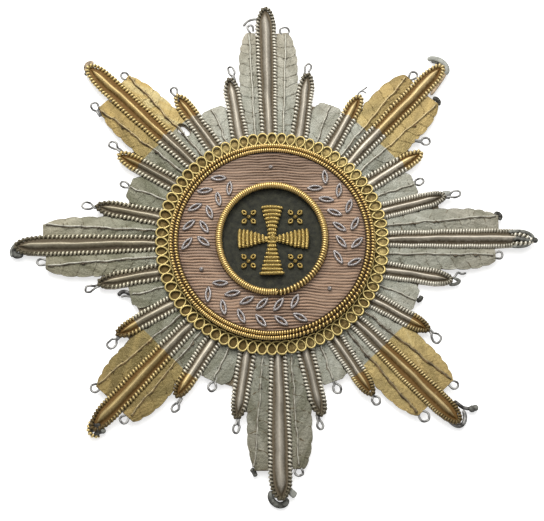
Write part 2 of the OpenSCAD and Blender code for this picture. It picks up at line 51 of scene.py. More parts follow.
# Sizes of the CAD source
ARM_REACH, SHORT_REACH, FEATHER_REACH, LEAF_REACH = 45, 31.5, 39, 26.7
CARD_T, GAP, HOLE_REACH = 1, 0.05, 25.6
LONG_FOOT_W, LONG_W, LONG_ARCH, LONG_CREST = 2.1, 3, 4.2, 1.5
SHORT_SIZES = 2.6, 2.3, 3.4, 1.2  # the same four of the short rays
CORD_D, FOIL_T, FOIL_RISE, FOIL_HALF_W, LEAF_W = 0.85, 0.3, 0.4, 5.4, 2.6
PAD_R, LOOP_RING_R, ROPE_D, ROPE_LEDGE_Z = 17.6, 20, 0.78, 2.78
FIELD_EDGE_Z, FIELD_TOP_Z = 3.2, 4
CENTRE_ROPE_D, CENTRE_ROPE_X, CENTRE_ROPE_Y = 1.2, 9, 9.55
DISC_R, DISC_Z = 9.2, 3.6
LAUREL_PITCH, LAUREL_W, LAUREL_SPLAY, LAUREL_STEM, LAUREL_MARGIN = 13.4, 1.2, 45, 0.7, 0.4
ROSETTE_OFF, ROSETTE_W, PETAL_W, KNOT_D = 3.95, 3.5, 0.96, 0.84

CARD_Z = CARD_T + GAP
CORD_TOP_Z = CARD_Z + CORD_D
FOOT_R = PAD_R + 0.15
FOIL_FOOT = 1.2
UNDER_LOOPS = LOOP_RING_R - FOOT_R
BESIDE_CORD = CORD_D / 2
FIELD_OUT_R = PAD_R - 2 * ROPE_D - 3 * GAP
FIELD_IN_R = CENTRE_ROPE_Y + CENTRE_ROPE_D / 2 + GAP

ARMS = ["e", "ne", "n", "nw", "w", "sw", "s", "se"]
ARM_TURN = 45
# Long rays: bearing at the loops and at the tip as offsets from the arm, shares of reach and width
LONG = [
    (2.1, 1.2, 0.982, 0.92), (2.8, 2.6, 1, 0.94), (1.5, 1.6, 0.991, 0.98),
    (-1.8, -0.3, 1.035, 1.02), (0, 0.7, 0.984, 1), (1.3, 2.3, 0.982, 1), (3, 1.9, 0.987, 1.08),
    (0.6, 0, 0.982, 1.02),
]
# Short rays, clockwise and counter-clockwise: bearings at the loops and at the tip, share of reach
SHORT = [
    [(-13.9, -12, 1.003), (17, 16.1, 0.994)], [(-12.2, -12.4, 0.99), (14.7, 15.4, 1.006)],
    [(-13.7, -11.3, 1.029), (16, 13.8, 1.01)], [(-15.4, -13.4, 1.029), (12.4, 13.6, 1.003)],
    [(-13.7, -12.6, 0.994), (14.9, 13.6, 0.975)], [(-12.6, -13.2, 0.984), (14.9, 14.3, 1)],
    [(-12.1, -10.8, 0.994), (16.4, 15.3, 0.997)], [(-12.9, -12.7, 1.003), (14.4, 14.9, 0.978)],
]
# Feathers, clockwise and counter-clockwise: the vein's tip beside the axis, its reach, the widest
# point, as shares
FEATHER = [
    [(0.54, 0.977, 1), (0.76, 0.997, 1.02)], [(0.76, 0.99, 1.09), (0.61, 0.997, 1)],
    [(0.65, 1.005, 1), (0.56, 1.01, 0.91)], [(0.7, 1.02, 0.95), (0.78, 1.005, 1.02)],
    [(0.69, 1.005, 0.94), (0.67, 0.99, 1.04)], [(0.83, 0.98, 1.09), (0.61, 0.987, 1.06)],
    [(0.8, 1.005, 1), (0.57, 1, 1)], [(0.74, 0.985, 1.04), (0.78, 0.982, 1.09)],
]
# Leaf after each arm: bearing from the middle between two arms, share of reach
LEAF = [
    (1.5, 1.01), (0.5, 1.03), (0.6, 1.01), (0, 1), (-1.5, 0.965), (0.4, 0.975), (0.7, 0.985),
    (0.4, 0.99),
]
FOIL_EDGE = [(0, 1), (0.76, 1), (0.86, 0.95), (0.94, 0.86), (1, 0.76)]
LEAF_EDGE = [(0, 1), (0.8, 1), (0.92, 0.92), (1, 0.65)]
# Laurel sprays: bearing of the first pair of leaves, pairs
SPRAYS = [(131, 5), (224, 6), (346, 6)]
KNOTS = [91, 204, 318]
# Where silver turns to gilt on the diagonal arms: distance from the centre for the long ray,
# the short rays and the feathers
GILT = {
    "ne": (27.8, 26.9, 26.2), "nw": (27.2, 27.1, 26.7),
    "sw": (26.2, 26.9, 26.1), "se": (26.1, 27.1, 26),
}
# Distances past that change which leave a piece all silver or all gilt
ALL_SILVER, ALL_GILT = -9.0, 9.0

# Sizes that only the looks have: step along a cord's path, radii of the cords' turns and of their
# wire, how far the wire's advance moves to the underside of each turn, foil tucked under cords
STEP, WOUND_R, BULLION_WIRE_R, WIRE_SLACK, TUCK = 0.25, 0.215, 0.21, 0.55, 0.06
FOLD_PITCH, PINK_ROW = 2.4, 0.52
# Radii of the veins' strands, of the stitches over them and of the sewing wires
STRAND_R, STITCH_R, SEWING_R = 0.17, 0.045, 0.2
# Radius of the cross's ridges, how far apart those of its upright and of its level bar are
RIDGE_R, UPRIGHT_PITCH, LEVEL_PITCH = 0.34, 0.683, 0.66
# Thickness of the purl of the laurel's leaves and of the rosettes' petals, radius of a knot's wire
LEAF_PURL_D, PETAL_PURL_D, KNOT_WIRE_R = 0.42, 0.38, 0.15
LOOPS, LOOP_STEPS, LOOP_WIRE_R, LOOP_DEEP = 72, 44, 0.17, 1.14

# Camera: tilt, distance, its aim below the centre, its lens for a 36 mm sensor, and the same focal
# length and the place that it looks at in pixels of the 544 by 521 picture
TILT, CAMERA_D, AIM_Y, LENS = math.radians(18), 294, -2.62, 113.27
FOCAL, MIDDLE_X, MIDDLE_Y = 1711.7, 272, 246


def around(r, a):
    """Flat points at distances r and angles a, in radians."""
    return np.stack([r * np.cos(a), r * np.sin(a)], -1)


def polar(r, bearing):
    return around(r, np.radians(bearing))


def full_turn(count):
    return TURN * np.arange(count) / count


def unit(v):
    return v / np.linalg.norm(v, axis=-1, keepdims=True)


def left(v):
    """Flat directions a quarter turn counter-clockwise."""
    return np.stack([-v[..., 1], v[..., 0]], -1)


def lookup(table, f):
    """Value of a table of pairs at f, straight between its rows."""
    return np.interp(f, *zip(*table))


def wander(x, size, seed):
    """Smooth irregular wave along x, about 1 high, with its longest swing about size long."""
    local = np.random.default_rng(seed)
    total = 0
    for k in range(3):
        waves = np.asarray(x) / (size / 1.8 ** k) + local.random()
        total = total + np.sin(TURN * waves) / 1.5 ** k
    return total / 1.6


def clamp(x):
    return np.clip(x, 0, 1)


def raise_to(flat, z):
    """Flat points with a height added."""
    return np.concatenate([flat, np.broadcast_to(z, flat.shape[:-1])[..., None]], -1)


def distances(path):
    """Each point's distance from the start of a line, along it."""
    return np.concatenate([[0], np.cumsum(np.linalg.norm(np.diff(path, axis=0), axis=1))])


def follow(s, known, path):
    """Points at s of a line whose own points lie at the known values."""
    return np.stack([np.interp(s, known, column) for column in path.T], -1)


def smooth(path):
    """The same line with evenly spaced points."""
    run = distances(path)
    return follow(np.linspace(0, run[-1], max(3, int(run[-1] / STEP))), run, path)


def curve(knots, n=8):
    """Smooth line through a few points."""
    knots = np.asarray(knots, float)
    ends = np.concatenate([[2 * knots[0] - knots[1]], knots, [2 * knots[-1] - knots[-2]]])
    t = np.linspace(0, 1, n, endpoint=False)[:, None]
    parts = []
    for a, b, c, d in zip(ends, ends[1:], ends[2:], ends[3:]):
        parts.append(0.5 * (2 * b + (c - a) * t + (2 * a - 5 * b + 4 * c - d) * t ** 2
                            + (3 * b - a - 3 * c + d) * t ** 3))
    return np.concatenate(parts + [knots[-1:]])


def cells(rows, cols, close_rows=False, close_cols=False, first=0):
    """Faces between neighbours in a grid of numbered points whose rows or columns may close."""
    index = first + np.arange(rows * cols).reshape(rows, cols)
    index = np.pad(index, ((0, int(close_rows)), (0, int(close_cols))), "wrap")
    corners = index[:-1, :-1], index[1:, :-1], index[1:, 1:], index[:-1, 1:]
    return np.stack(corners, -1).reshape(-1, 4)


def flipped(faces):
    return faces[:, [0, 3, 2, 1]].tolist()


class Axis:
    """A line on the card, with distances u along it and places v beside it."""

    def __init__(self, start, tip):
        self.start, self.way = start, unit(tip - start)
        self.side, self.length = left(self.way), np.linalg.norm(tip - start)

    def at(self, u, v):
        u, v = np.asarray(u)[..., None], np.asarray(v)[..., None]
        return self.start + u * self.way + v * self.side

    def clear_of(self, ray, u):
        """Distance from this axis to the near side of a ray's cord."""
        foot, tip = ray.start - self.start, ray.at(ray.length, 0) - self.start
        share = (u - foot @ self.way) / ((tip - foot) @ self.way)
        middle = np.abs(foot @ self.side + (tip - foot) @ self.side * share)
        near = middle - (ray.half_w(share * ray.length) + BESIDE_CORD) / (self.way @ ray.way)
        return np.where(share > 1, ARM_REACH, near)


class Ray(Axis):
    """A padded ray's axis and border line, as the CAD source has them."""

    def __init__(self, seen_a, tip_a, reach, foot_w, full_w, arch, crest):
        seen, tip = polar(LOOP_RING_R, seen_a), polar(reach, tip_a)
        super().__init__(seen - unit(tip - seen) * UNDER_LOOPS, tip)
        self.length -= CORD_D / 2
        self.straight = self.length - arch
        self.foot_w, self.full_w, self.arch, self.crest = foot_w, full_w, arch, crest

    def half_w(self, u):
        over = clamp((u - self.straight) / self.arch)
        full = self.foot_w + (self.full_w - self.foot_w) * np.minimum(1, u / (0.7 * self.straight))
        return full / 2 * np.sqrt(1 - over * over)

    def steps(self, count, end=1):
        """Distances along the axis, closer together round the arch of the tip."""
        arch = self.arch * np.sin(np.linspace(0, math.pi / 2 * end, 14))
        return np.concatenate([np.linspace(0, self.straight, count)[:-1], self.straight + arch])

    def border(self):
        """Middle line of the border cord: up the clockwise side, round the tip, down the other."""
        u = self.steps(30)
        w = self.half_w(u)
        return np.concatenate([self.at(u, -w), self.at(u, w)[-2::-1]])


def long_ray(i):
    seen, tip, reach, width = LONG[i]
    return Ray(ARM_TURN * i + seen, ARM_TURN * i + tip, reach * ARM_REACH,
               LONG_FOOT_W, width * LONG_W, LONG_ARCH, LONG_CREST)


def short_ray(i, s):
    seen, tip, reach = SHORT[i][s]
    return Ray(ARM_TURN * i + seen, ARM_TURN * i + tip, reach * SHORT_REACH, *SHORT_SIZES)


# Meshes

class Stuff:
    """Gathers the tubes and sheets of one piece, with a soil value and a length at each point; the
    soil value carries real soil and painted shade.
    """

    def __init__(self):
        self.points, self.faces, self.soil, self.run = [], [], [], []

    def add(self, points, faces, soil=0, run=0):
        before = sum(map(len, self.points))
        self.points.append(np.reshape(points, (-1, 3)))
        self.faces += [[k + before for k in face] for face in faces]
        for store, value in ((self.soil, soil), (self.run, run)):
            store.append(np.broadcast_to(np.ravel(value), len(self.points[-1])))

    def tube(self, line, radius, sides=8, out=UP, closed=False, soil=0, flat=1, shade_and_dirt=1):
        """Round wire along a line. out points away from the side that is painted darker, as painted
        shade with tarnish in the crevices.
        """
        n = len(line)
        if closed:
            way = unit(np.roll(line, -1, 0) - np.roll(line, 1, 0))
        else:
            way = unit(np.gradient(line, axis=0))
        out = unit(out - (out * way).sum(-1, keepdims=True) * way)
        angle = full_turn(sides)[:, None]
        ring = np.cos(angle) * out[:, None] * flat + np.sin(angle) * np.cross(way, out)[:, None]
        points = line[:, None] + np.broadcast_to(radius, n)[:, None, None] * ring
        # Painted shade: the side away from out is darkened, on top of the soil given.
        shade = shade_and_dirt * (0.5 - 0.5 * np.cos(angle.T)) + np.broadcast_to(soil, n)[:, None]
        faces = flipped(cells(n, sides, closed, True))
        if not closed:
            faces += [list(range(sides))[::-1], list(range((n - 1) * sides, n * sides))]
        self.add(points, faces, shade, np.repeat(distances(line), sides))

    def coil(self, path, coil_r, wire_r, pitch, per_turn=12, sides=6, phase=0, closed=False,
             darkening=0):
        """Wire wound round a path over a dark tube in its middle, which is painted shade standing
        for the shade seen between the turns. pitch and the wire's darkening, added to its soil, may
        change along the path."""
        shade_core, pitch, darkening = path, *(np.broadcast_to(value, len(path)) for value in (pitch, darkening))
        if closed:
            path, pitch, darkening = (np.concatenate([row, row[:1]]) for row in (path, pitch, darkening))
        rate = (1 / pitch[1:] + 1 / pitch[:-1]) / 2
        turns = np.concatenate([[0], np.cumsum(np.diff(distances(path)) * rate)])
        if closed:
            turns *= round(turns[-1]) / turns[-1]
        n = max(4, int(turns[-1] * per_turn))
        t = np.linspace(0, turns[-1], n if closed else n + 1, endpoint=not closed)
        angle = phase + TURN * t
        slack = WIRE_SLACK * (np.cos(angle) - math.cos(phase)) / TURN
        place = np.clip(t - slack, 0, turns[-1])
        way = unit(follow(place + 0.5, turns, path) - follow(place - 0.5, turns, path))
        side = unit(np.cross(UP, way))
        out = np.cos(angle)[:, None] * side - np.sin(angle)[:, None] * np.cross(way, side)
        self.tube(follow(place, turns, path) + coil_r * out, wire_r, sides, out, closed,
                  soil=np.interp(place, turns, darkening))
        # Painted shade: a dark tube along the coil's middle shows between the turns.
        self.tube(shade_core, coil_r, 6, closed=closed, soil=1)

    def slab(self, top, low_z, soil, run=0, hole=None):
        """Closed solid below a grid of top points, down to a level underside. hole, a function
        of flat points, gives each one's distance from a hole's middle as a share of its edge."""
        rows, cols = top.shape[:2]
        count = rows * cols
        faces = cells(rows, cols)
        high = top.reshape(-1, 3).copy()
        if hole:
            share, middle = hole(high[:, :2])
            gone = share[faces].mean(1) < 1
            rim = np.intersect1d(faces[gone], faces[~gone])
            high[rim, :2] = middle + (high[rim, :2] - middle) / share[rim][:, None]
            faces = faces[~gone]
        edges = np.stack([faces, np.roll(faces, -1, 1)], -1).reshape(-1, 2).tolist()
        known = {(a, b) for a, b in edges}
        walls = [[a, b, b + count, a + count] for a, b in edges if (b, a) not in known]
        soil, run = (np.broadcast_to(value, (rows, cols)) for value in (soil, run))
        # Painted shade: the underside, and the walls towards their foot, are darker than the top.
        self.add([high, high * [1, 1, 0] + low_z * UP],
                 faces.tolist() + walls + (faces[:, ::-1] + count).tolist(),
                 [soil, soil + 0.4], [run, run])

    def ring_solid(self, rows, soil, run=0):
        """Closed ring from loops of points, the last joined to the first."""
        shape = rows.shape[:2]
        self.add(rows, cells(*shape, True, True).tolist(), np.broadcast_to(soil, shape),
                 np.broadcast_to(run, shape))

    def make(self, name, material, slot, stands_for=None, over=None):
        """Makes the piece with its material, in place of a CAD node; slot is not used. over gives
        each point's distance past the change to gilt."""
        points = np.concatenate(self.points)
        mesh = bpy.data.meshes.new(name)
        mesh.from_pydata((points * MM).tolist(), [], self.faces)
        past = over(points) if over else np.full(len(points), ALL_SILVER)
        for key, value in zip(("soil", "run", "over"), (self.soil, self.run, [past])):
            layer = mesh.attributes.new(key, "FLOAT", "POINT")
            layer.data.foreach_set("value", np.concatenate(value).astype(np.float32))
        mesh.polygons.foreach_set("use_smooth", np.ones(len(mesh.polygons), bool))
        mesh.materials.append(material)
        mesh.validate()
        piece = bpy.data.objects.new(name, mesh)
        bpy.context.collection.objects.link(piece)
        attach(piece, "root")
        if stands_for:
            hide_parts(stands_for)


# Materials

class Paint:
    """The nodes of a material. Where a value is another node's output, it is linked."""

    def __init__(self, name):
        self.material = bpy.data.materials.new(name)
        self.material.use_nodes = True
        self.tree = self.material.node_tree

    def put(self, node, values):
        for key, value in values.items():
            if hasattr(value, "node"):
                self.tree.links.new(value, node.inputs[key])
            else:
                colour = node.inputs[key].type == "RGBA"
                node.inputs[key].default_value = (*value, 1) if colour else value

    def node(self, kind, values, output=0, **options):
        """An output of a new node, with the node's options and inputs set."""
        node = self.tree.nodes.new("ShaderNode" + kind)
        for key, value in options.items():
            setattr(node, key, value)
        self.put(node, values)
        return node.outputs[output]

    def plus(self, a, b):
        return self.node("Math", {0: a, 1: b}, operation="ADD")

    def times(self, a, b):
        return self.node("Math", {0: a, 1: b}, operation="MULTIPLY")

    def wave(self, value, length):
        """Sine of a length in millimetres, with waves of a length."""
        return self.node("Math", {0: self.times(value, TURN / length)}, operation="SINE")

    def mix(self, factor, a, b, blend="MIX"):
        return self.node("Mix", {0: factor, 6: a, 7: b}, 2, data_type="RGBA", blend_type=blend)

    def tint(self, colour, by, share=1.0):
        """A colour times another."""
        return self.mix(share, colour, by, "MULTIPLY")

    def attribute(self, name):
        return self.node("Attribute", {}, "Fac", attribute_name=name)

    def ramp(self, value, low, high, to_low=0, to_high=1):
        limits = {"From Min": low, "From Max": high, "To Min": to_low, "To Max": to_high}
        return self.node("MapRange", {"Value": value, **limits})

    def place(self):
        return self.node("TexCoord", {}, "Object")

    def noise(self, size, detail, stretch=None):
        """Noise whose blotches are about size millimetres across."""
        place = self.place()
        if stretch:
            place = self.node("Mapping", {"Vector": place, "Scale": stretch})
        values = {"Vector": place, "Scale": 1 / (size * MM), "Detail": detail}
        return self.node("TexNoise", values, "Fac")

    def from_middle(self):
        """Distance from the object's middle in millimetres."""
        length = self.node("VectorMath", {0: self.place()}, "Value", operation="LENGTH")
        return self.node("Math", {0: length, 1: MM}, operation="DIVIDE")

    def along(self, axis):
        """Place along an axis in millimetres."""
        place = self.node("SeparateXYZ", {0: self.place()}, axis)
        return self.node("Math", {0: place, 1: MM}, operation="DIVIDE")

    def finish(self, values, height=None, relief=0):
        """The material, with its shader's values and with relief in millimetres from a height."""
        if height is not None:
            values["Normal"] = self.node("Bump", {"Height": height, "Distance": relief * MM})
        self.put(self.tree.nodes["Principled BSDF"], values)
        return self.material


def metal(name, silver, gilt, tarnish, rough, metallic=0.9, winding=None, relief=0.03,
          shade_and_dirt=(0.2, 0.85), patches=0.25, patch_size=2.5, tints=None, gilt_tarnish=None,
          wrinkle=None, hues=None, yellowed=0.0):
    """Silvered metal that turns to gilt, browned where the soil value is high, which marks real
    soil and painted shade alike.

    winding is the pitch of fine winding lines, patches how strong its dull patches are, tints the
    colours at the ends of run, wrinkle the size of its wrinkles, hues the size of its bluish and
    reddish patches, and yellowed how far the star's left side has turned yellow."""
    paint = Paint(name)
    run = paint.attribute("run")
    gilded = paint.ramp(paint.attribute("over"), -0.06, 0.06)
    bright = paint.mix(gilded, silver, gilt)
    tarnish = paint.mix(gilded, tarnish, gilt_tarnish or tarnish)
    if tints:
        toned = paint.mix(run, *tints)
        bright = paint.tint(bright, toned)
        if hues:
            tarnish = paint.tint(tarnish, toned, 0.9)
            # Painted highlight: bluish where the gilt foil is palest.
            pale = paint.times(gilded, paint.ramp(run, 0.2, 0.04))
            bright = paint.tint(bright, (1.0, 1.12, 1.45), pale)
            spread = paint.plus(paint.ramp(paint.from_middle(), 20, 38), paint.noise(hues, 2))
            hue = paint.mix(paint.ramp(spread, 0.3, 1.6), (0.98, 1.03, 1.05), (1.04, 0.98, 0.93))
            bright = paint.tint(bright, hue)
    if yellowed:
        aged = paint.ramp(paint.along(0), -8, -26, 0, yellowed)
        bright = paint.tint(bright, (1, 0.96, 0.72), aged)
    cloud = paint.ramp(paint.noise(patch_size, 4), 0.4, 0.7, 0, patches)
    worn = paint.mix(cloud, bright, paint.mix(0.5, bright, tarnish))
    spots = paint.noise(0.5, 3)
    soil = paint.plus(paint.attribute("soil"), paint.ramp(spots, 0.3, 0.7, -0.15, 0.15))
    # Painted shade and real soil both turn the colour towards tarnish here.
    shaded_and_dirty = paint.ramp(soil, *shade_and_dirt)
    height = fine = paint.noise(0.08, 2)
    if wrinkle:
        height = paint.plus(fine, paint.times(paint.noise(wrinkle, 4), 3.0))
    if winding:
        height = paint.plus(paint.wave(run, winding), paint.times(fine, 0.8))
    return paint.finish({
        "Base Color": paint.mix(shaded_and_dirty, worn, tarnish), "Metallic": metallic,
        "Roughness": paint.ramp(paint.plus(spots, shaded_and_dirty), 0.3, 1.6, rough, min(1, rough + 0.3)),
    }, height, relief)


def cloth(name, colour, shade, thread, relief=0.05, patch=3.0, sheen=0.2):
    """Woven cloth in two tones, its threads along X and Y."""
    paint = Paint(name)
    weave = paint.times(*(paint.wave(paint.along(axis), thread) for axis in (0, 1)))
    both = paint.plus(paint.noise(patch, 4), paint.times(weave, 0.12))
    tone = paint.mix(paint.ramp(both, 0.3, 0.7), colour, shade)
    height = paint.plus(weave, paint.noise(0.2, 3))
    values = {"Base Color": tone, "Roughness": 0.9, "Sheen Weight": sheen}
    return paint.finish(values, height, relief)


def pink_threads():
    """Faded laid thread: pink on top, browner in the grooves between the rows, which is painted
    shade.
    """
    paint = Paint("pink thread")
    streak = paint.noise(1, 3, (0.25, 6, 6))
    blotch = paint.ramp(paint.noise(4, 4), 0.3, 0.7)
    pink = paint.mix(blotch, (0.285, 0.17, 0.10), (0.24, 0.148, 0.09))
    pink = paint.mix(paint.ramp(streak, 0.35, 0.65), pink, (0.31, 0.20, 0.128))
    pink = paint.tint(pink, paint.ramp(paint.attribute("run"), 0, 1, 0.66, 1.16))
    # Painted shade: the soil value darkens the grooves between rows and the edges by the ropes.
    groove = paint.ramp(paint.attribute("soil"), 0.12, 0.85)
    return paint.finish({
        "Base Color": paint.mix(groove, pink, (0.07, 0.035, 0.016)),
        "Roughness": 0.62, "Sheen Weight": 0.3,
    }, paint.plus(streak, paint.noise(0.12, 2)), 0.03)


GOLD = (0.62, 0.45, 0.18)
cord_metal = metal(
    "bullion", (0.545, 0.515, 0.43), (0.505, 0.395, 0.183), (0.08, 0.066, 0.038), 0.36,
    metallic=0.45, relief=0.012, shade_and_dirt=(0.35, 1), gilt_tarnish=(0.09, 0.059, 0.018), yellowed=0.45)
ray_metal = metal(
    "laid thread", (0.42, 0.38, 0.31), (0.46, 0.35, 0.165), (0.095, 0.073, 0.043), 0.5,
    metallic=0.25, relief=0.02, gilt_tarnish=(0.125, 0.062, 0.008), patches=0.4,
    tints=((0, 0, 0), (2, 2, 2)), yellowed=0.55)
foil_metal = metal(
    "crimped foil", (0.25, 0.25, 0.215), (0.33, 0.252, 0.10), (0.10, 0.077, 0.042), 0.5,
    metallic=0.3, relief=0.07, patches=0.5, patch_size=1.6, wrinkle=0.45, hues=6,
    tints=((1.35, 1.34, 1.33), (0.45, 0.445, 0.34)), gilt_tarnish=(0.12, 0.075, 0.02),
    yellowed=0.35)
vein_metal = metal(
    "vein strand", (0.33, 0.32, 0.265), (0.37, 0.285, 0.13), (0.06, 0.045, 0.025), 0.42,
    metallic=0.3, relief=0.015)
rope_metal = metal("gold rope", GOLD, GOLD, (0.08, 0.05, 0.012), 0.35, relief=0.012)
wire_metal = metal(
    "loop wire", (0.44, 0.35, 0.14), GOLD, (0.105, 0.068, 0.018), 0.42, metallic=0.7, relief=0.012)
purl_gold = metal("gold purl", (0.41, 0.30, 0.10), GOLD, (0.09, 0.055, 0.012), 0.34, winding=0.24)
purl_silver = metal(
    "silver purl", (0.44, 0.41, 0.40), (0.46, 0.43, 0.39), (0.10, 0.08, 0.07), 0.36, winding=0.24)
sewing_metal = metal(
    "sewing wire", (0.31, 0.305, 0.29), GOLD, (0.03, 0.028, 0.026), 0.42, metallic=0.4,
    relief=0.01, patches=0.8, patch_size=1.2)
scrap_metal = metal(
    "tarnished strip", (0.26, 0.265, 0.235), (0.36, 0.27, 0.17), (0.022, 0.02, 0.016), 0.6,
    metallic=0.15, patches=0.6, patch_size=1)
# Painted shadow: the dark line beside each vein strand uses this material, as do the stitches.
shadow_and_stitch_thread = metal(
    "shadow line and stitch thread", (0.15, 0.12, 0.075), (0.19, 0.115, 0.04), (0.028, 0.019, 0.011), 0.7,
    metallic=0.1, relief=0.02, gilt_tarnish=(0.04, 0.023, 0.007))
charcoal = cloth(
    "charcoal cloth", (0.006, 0.007, 0.0035), (0.034, 0.034, 0.019), 0.22, patch=0.9, sheen=0.06)
card_cloth = cloth("card cloth", (0.20, 0.16, 0.10), (0.15, 0.115, 0.07), 0.4, patch=6)


# Cords and padded rays

# Pitch of the turns of each arm's cords: clockwise side, then counter-clockwise side
CORD_PITCH = [
    (0.42, 0.46), (0.62, 0.66), (0.6, 0.68), (0.64, 0.64), (0.72, 0.7), (0.6, 0.64), (0.65, 0.65),
    (0.46, 0.5),
]
# How much darker each arm's cords are made: along their sides, then more at their tips
CORD_DARKENING = [
    (0.25, 0.5), (0, 0.1), (0, 0.85), (0, 0.25), (0.3, 0.75), (0.2, 0.85), (0.1, 0.9), (0.3, 0.65),
]
# Half width of the crest of each arm's rays, as a share of the ray's half width
CREST_SHARE = [0.5, 0.6, 0.72, 0.42, 0.48, 0.6, 0.72, 0.45]
# How light each arm's ridges are painted, partly their own tone and partly painted highlight and
# shade: the long one at its foot and its tip, then the short ones
RIDGE = [
    (1.3, 1.2, 1.2, 1.35), (1.75, 1.15, 1.55, 1.2), (1.05, 0.68, 0.9, 1), (1.05, 1.2, 1.2, 0.68),
    (1.15, 0.78, 1.05, 1.05), (1.05, 0.76, 1, 1.4), (0.78, 0.7, 0.85, 0.62), (1.15, 0.92, 1.1, 1.3),
]


def finish_of(arm, kind):
    """Slot of an arm's pieces of one kind."""
    return ("gilt_" if arm in GILT else "silver_") + kind


def over_change(i, kind):
    """Function of points: how far they are past the change to gilt. None on a silver arm.

    kind is the place in a row of GILT. Feathers are measured along the arm."""
    if ARMS[i] not in GILT:
        return None
    change, way = GILT[ARMS[i]][kind], polar(1, ARM_TURN * i)

    def over(points):
        if kind == 2:
            return points[:, :2] @ way - change
        return np.linalg.norm(points[:, :2], axis=1) - change
    return over


def cord(stuff, ray, i, part, seed):
    """Bullion cord laid along a ray's border."""
    path = smooth(ray.border())
    s = np.arange(len(path)) * STEP
    path = path + left(unit(np.gradient(path, axis=0))) * (0.05 * wander(s, 7, seed))[:, None]
    pitch = np.where(s < s[-1] / 2, *CORD_PITCH[i]) * (1 + 0.08 * wander(s, 9, seed + 3))
    beside, tip = CORD_DARKENING[i]
    darkening = beside + tip * np.exp(-((s / s[-1] - 0.5) / 0.11) ** 2)
    stuff.coil(raise_to(path, CARD_Z + CORD_D / 2), WOUND_R, BULLION_WIRE_R, pitch, phase=seed,
               darkening=darkening)


def padded(stuff, ray, i, part, seed):
    """Ridge of laid thread with a hollow on each side, ending short of its cord's arch."""
    u = ray.steps(26, 0.96)[:, None]
    g = np.linspace(-1, 1, 21)[None]
    half = np.maximum(ray.half_w(u) - 0.28, 0.1)
    rise = clamp((u - UNDER_LOOPS) / UNDER_LOOPS)
    fall = clamp((u - ray.straight) / ray.arch)
    height = (CORD_D + (ray.crest - CORD_D) * rise) * (1 - 0.5 * fall ** 2)
    height = height * (1 + 0.02 * wander(u, 9, seed))
    drift = 0.07 * wander(u, 16, seed + 50)
    end = clamp((ray.length - 0.5 - u) / 2.0) ** 0.6
    x = clamp(np.abs(g - drift) / (CREST_SHARE[i] * (0.25 + 0.75 * end)))
    crest = (1 - x ** 2) ** 1.2 * end
    bowl = 0.26 + 0.06 * np.abs(g) ** 3
    z = CARD_Z + height * (bowl + (1 - bowl) * crest)
    # Painted shade: darker in the hollows beside the crest, a little at the outer edges, and where
    # the ray ends short of its arch.
    soil = 0.15 + 0.75 * (1 - crest) ** 1.3 + 0.1 * np.abs(g) ** 4 + 0.5 * (1 - end)
    # Painted highlight and shade, with the ridge's own tone: each ridge's lightness from the table
    # above.
    light = RIDGE[i][1 + part] if part else np.interp(u, [6, 11], RIDGE[i][:2])
    light = light * (1 + 0.12 * wander(u + 2 * g, 7, seed + 90))
    stuff.slab(raise_to(ray.at(u, -half * g), z), CARD_Z, soil, light / 2)


def make_pairs(build, material, kind, first_seed, names):
    """For each arm, a piece on its long ray and one on its two short rays. names are each one's
    own name and that of the node which it stands for. build gets the ray, its arm's number, 0
    for the long ray or 1 or 2 for a short one, and a seed."""
    for i, arm in enumerate(ARMS):
        for short, (name, node) in enumerate(names):
            stuff = Stuff()
            if short:
                for s in (0, 1):
                    build(stuff, short_ray(i, s), i, 1 + s, first_seed + 20 + 2 * i + s)
            else:
                build(stuff, long_ray(i), i, 0, first_seed + i)
            stuff.make(f"{name}_{arm}", material, finish_of(arm, kind), f"{node}_{arm}",
                       over_change(i, short))


# Foil

# Each arm's veins: thickness of the dark line beside the strand, painted as its shadow, how far the
# strand wanders, knots a vein on that line, darkness of that line and soil of the light strand
VEIN = [
    (0.09, 0.1, 2, 0.45, 0.15), (0.07, 0.12, 1, 0.3, 0.1), (0.04, 0.06, 0, 0.2, 0),
    (0.13, 0.16, 2, 0.7, 0.3), (0.11, 0.1, 1, 0.6, 0.2), (0.09, 0.12, 1, 0.4, 0.35),
    (0.06, 0.1, 0, 0.3, 0.35), (0.14, 0.12, 1, 0.7, 0.5),
]
LEAF_VEIN = (0.06, 0.12, 0, 0.4, 0.2)
# How dark each arm's foil is, from 0 to 1: at the foot and at the tip of the clockwise feather,
# then of the other, then how strongly the folds show
TONE = [
    ((0.54, 0.5), (0.24, 0.48), 0.7), ((0.48, 0.42), (0.24, 0.46), 0.7),
    ((0.37, 0.33), (0.26, 0.26), 0.6), ((0.26, 0.03), (0.8, 0.62), 0.4),
    ((0.84, 0.5), (0.64, 0.77), 0.6), ((0.87, 0.87), (0.76, 0.9), 0.75),
    ((0.58, 0.74), (0.7, 0.78), 1.5), ((0.35, 0.44), (0.34, 0.42), 0.4),
]
LEAF_TONE = [0.38, 0.22, 0.18, 0.88, 0.79, 0.66, 0.4, 0.38]
LEAF_FOLDS = 0.35
# Places between two folds at which the foil has points
FOLD_STEPS = (0, 0.03, 0.07, 0.13, 0.28, 0.5, 0.75, 0.9, 0.97)


def fold_rows(u0, u1, seed):
    """Distances of the rows of a foil piece, each row's place between two folds and its shade."""
    local = np.random.default_rng(seed)
    folds = [u0]
    while folds[-1] < u1 - 0.6 * FOLD_PITCH:
        folds.append(folds[-1] + FOLD_PITCH * local.uniform(0.7, 1.3))
    folds[-1] = u1
    rows, place, shades = [], [], []
    for a, b in zip(folds, folds[1:]):
        rows += [a + (b - a) * f for f in FOLD_STEPS]
        place += FOLD_STEPS
        shades += [local.uniform(-0.12, 0.12)] * len(FOLD_STEPS)
    columns = rows + [u1], place + [1], shades + shades[-1:]
    return (np.array(column)[:, None] for column in columns)


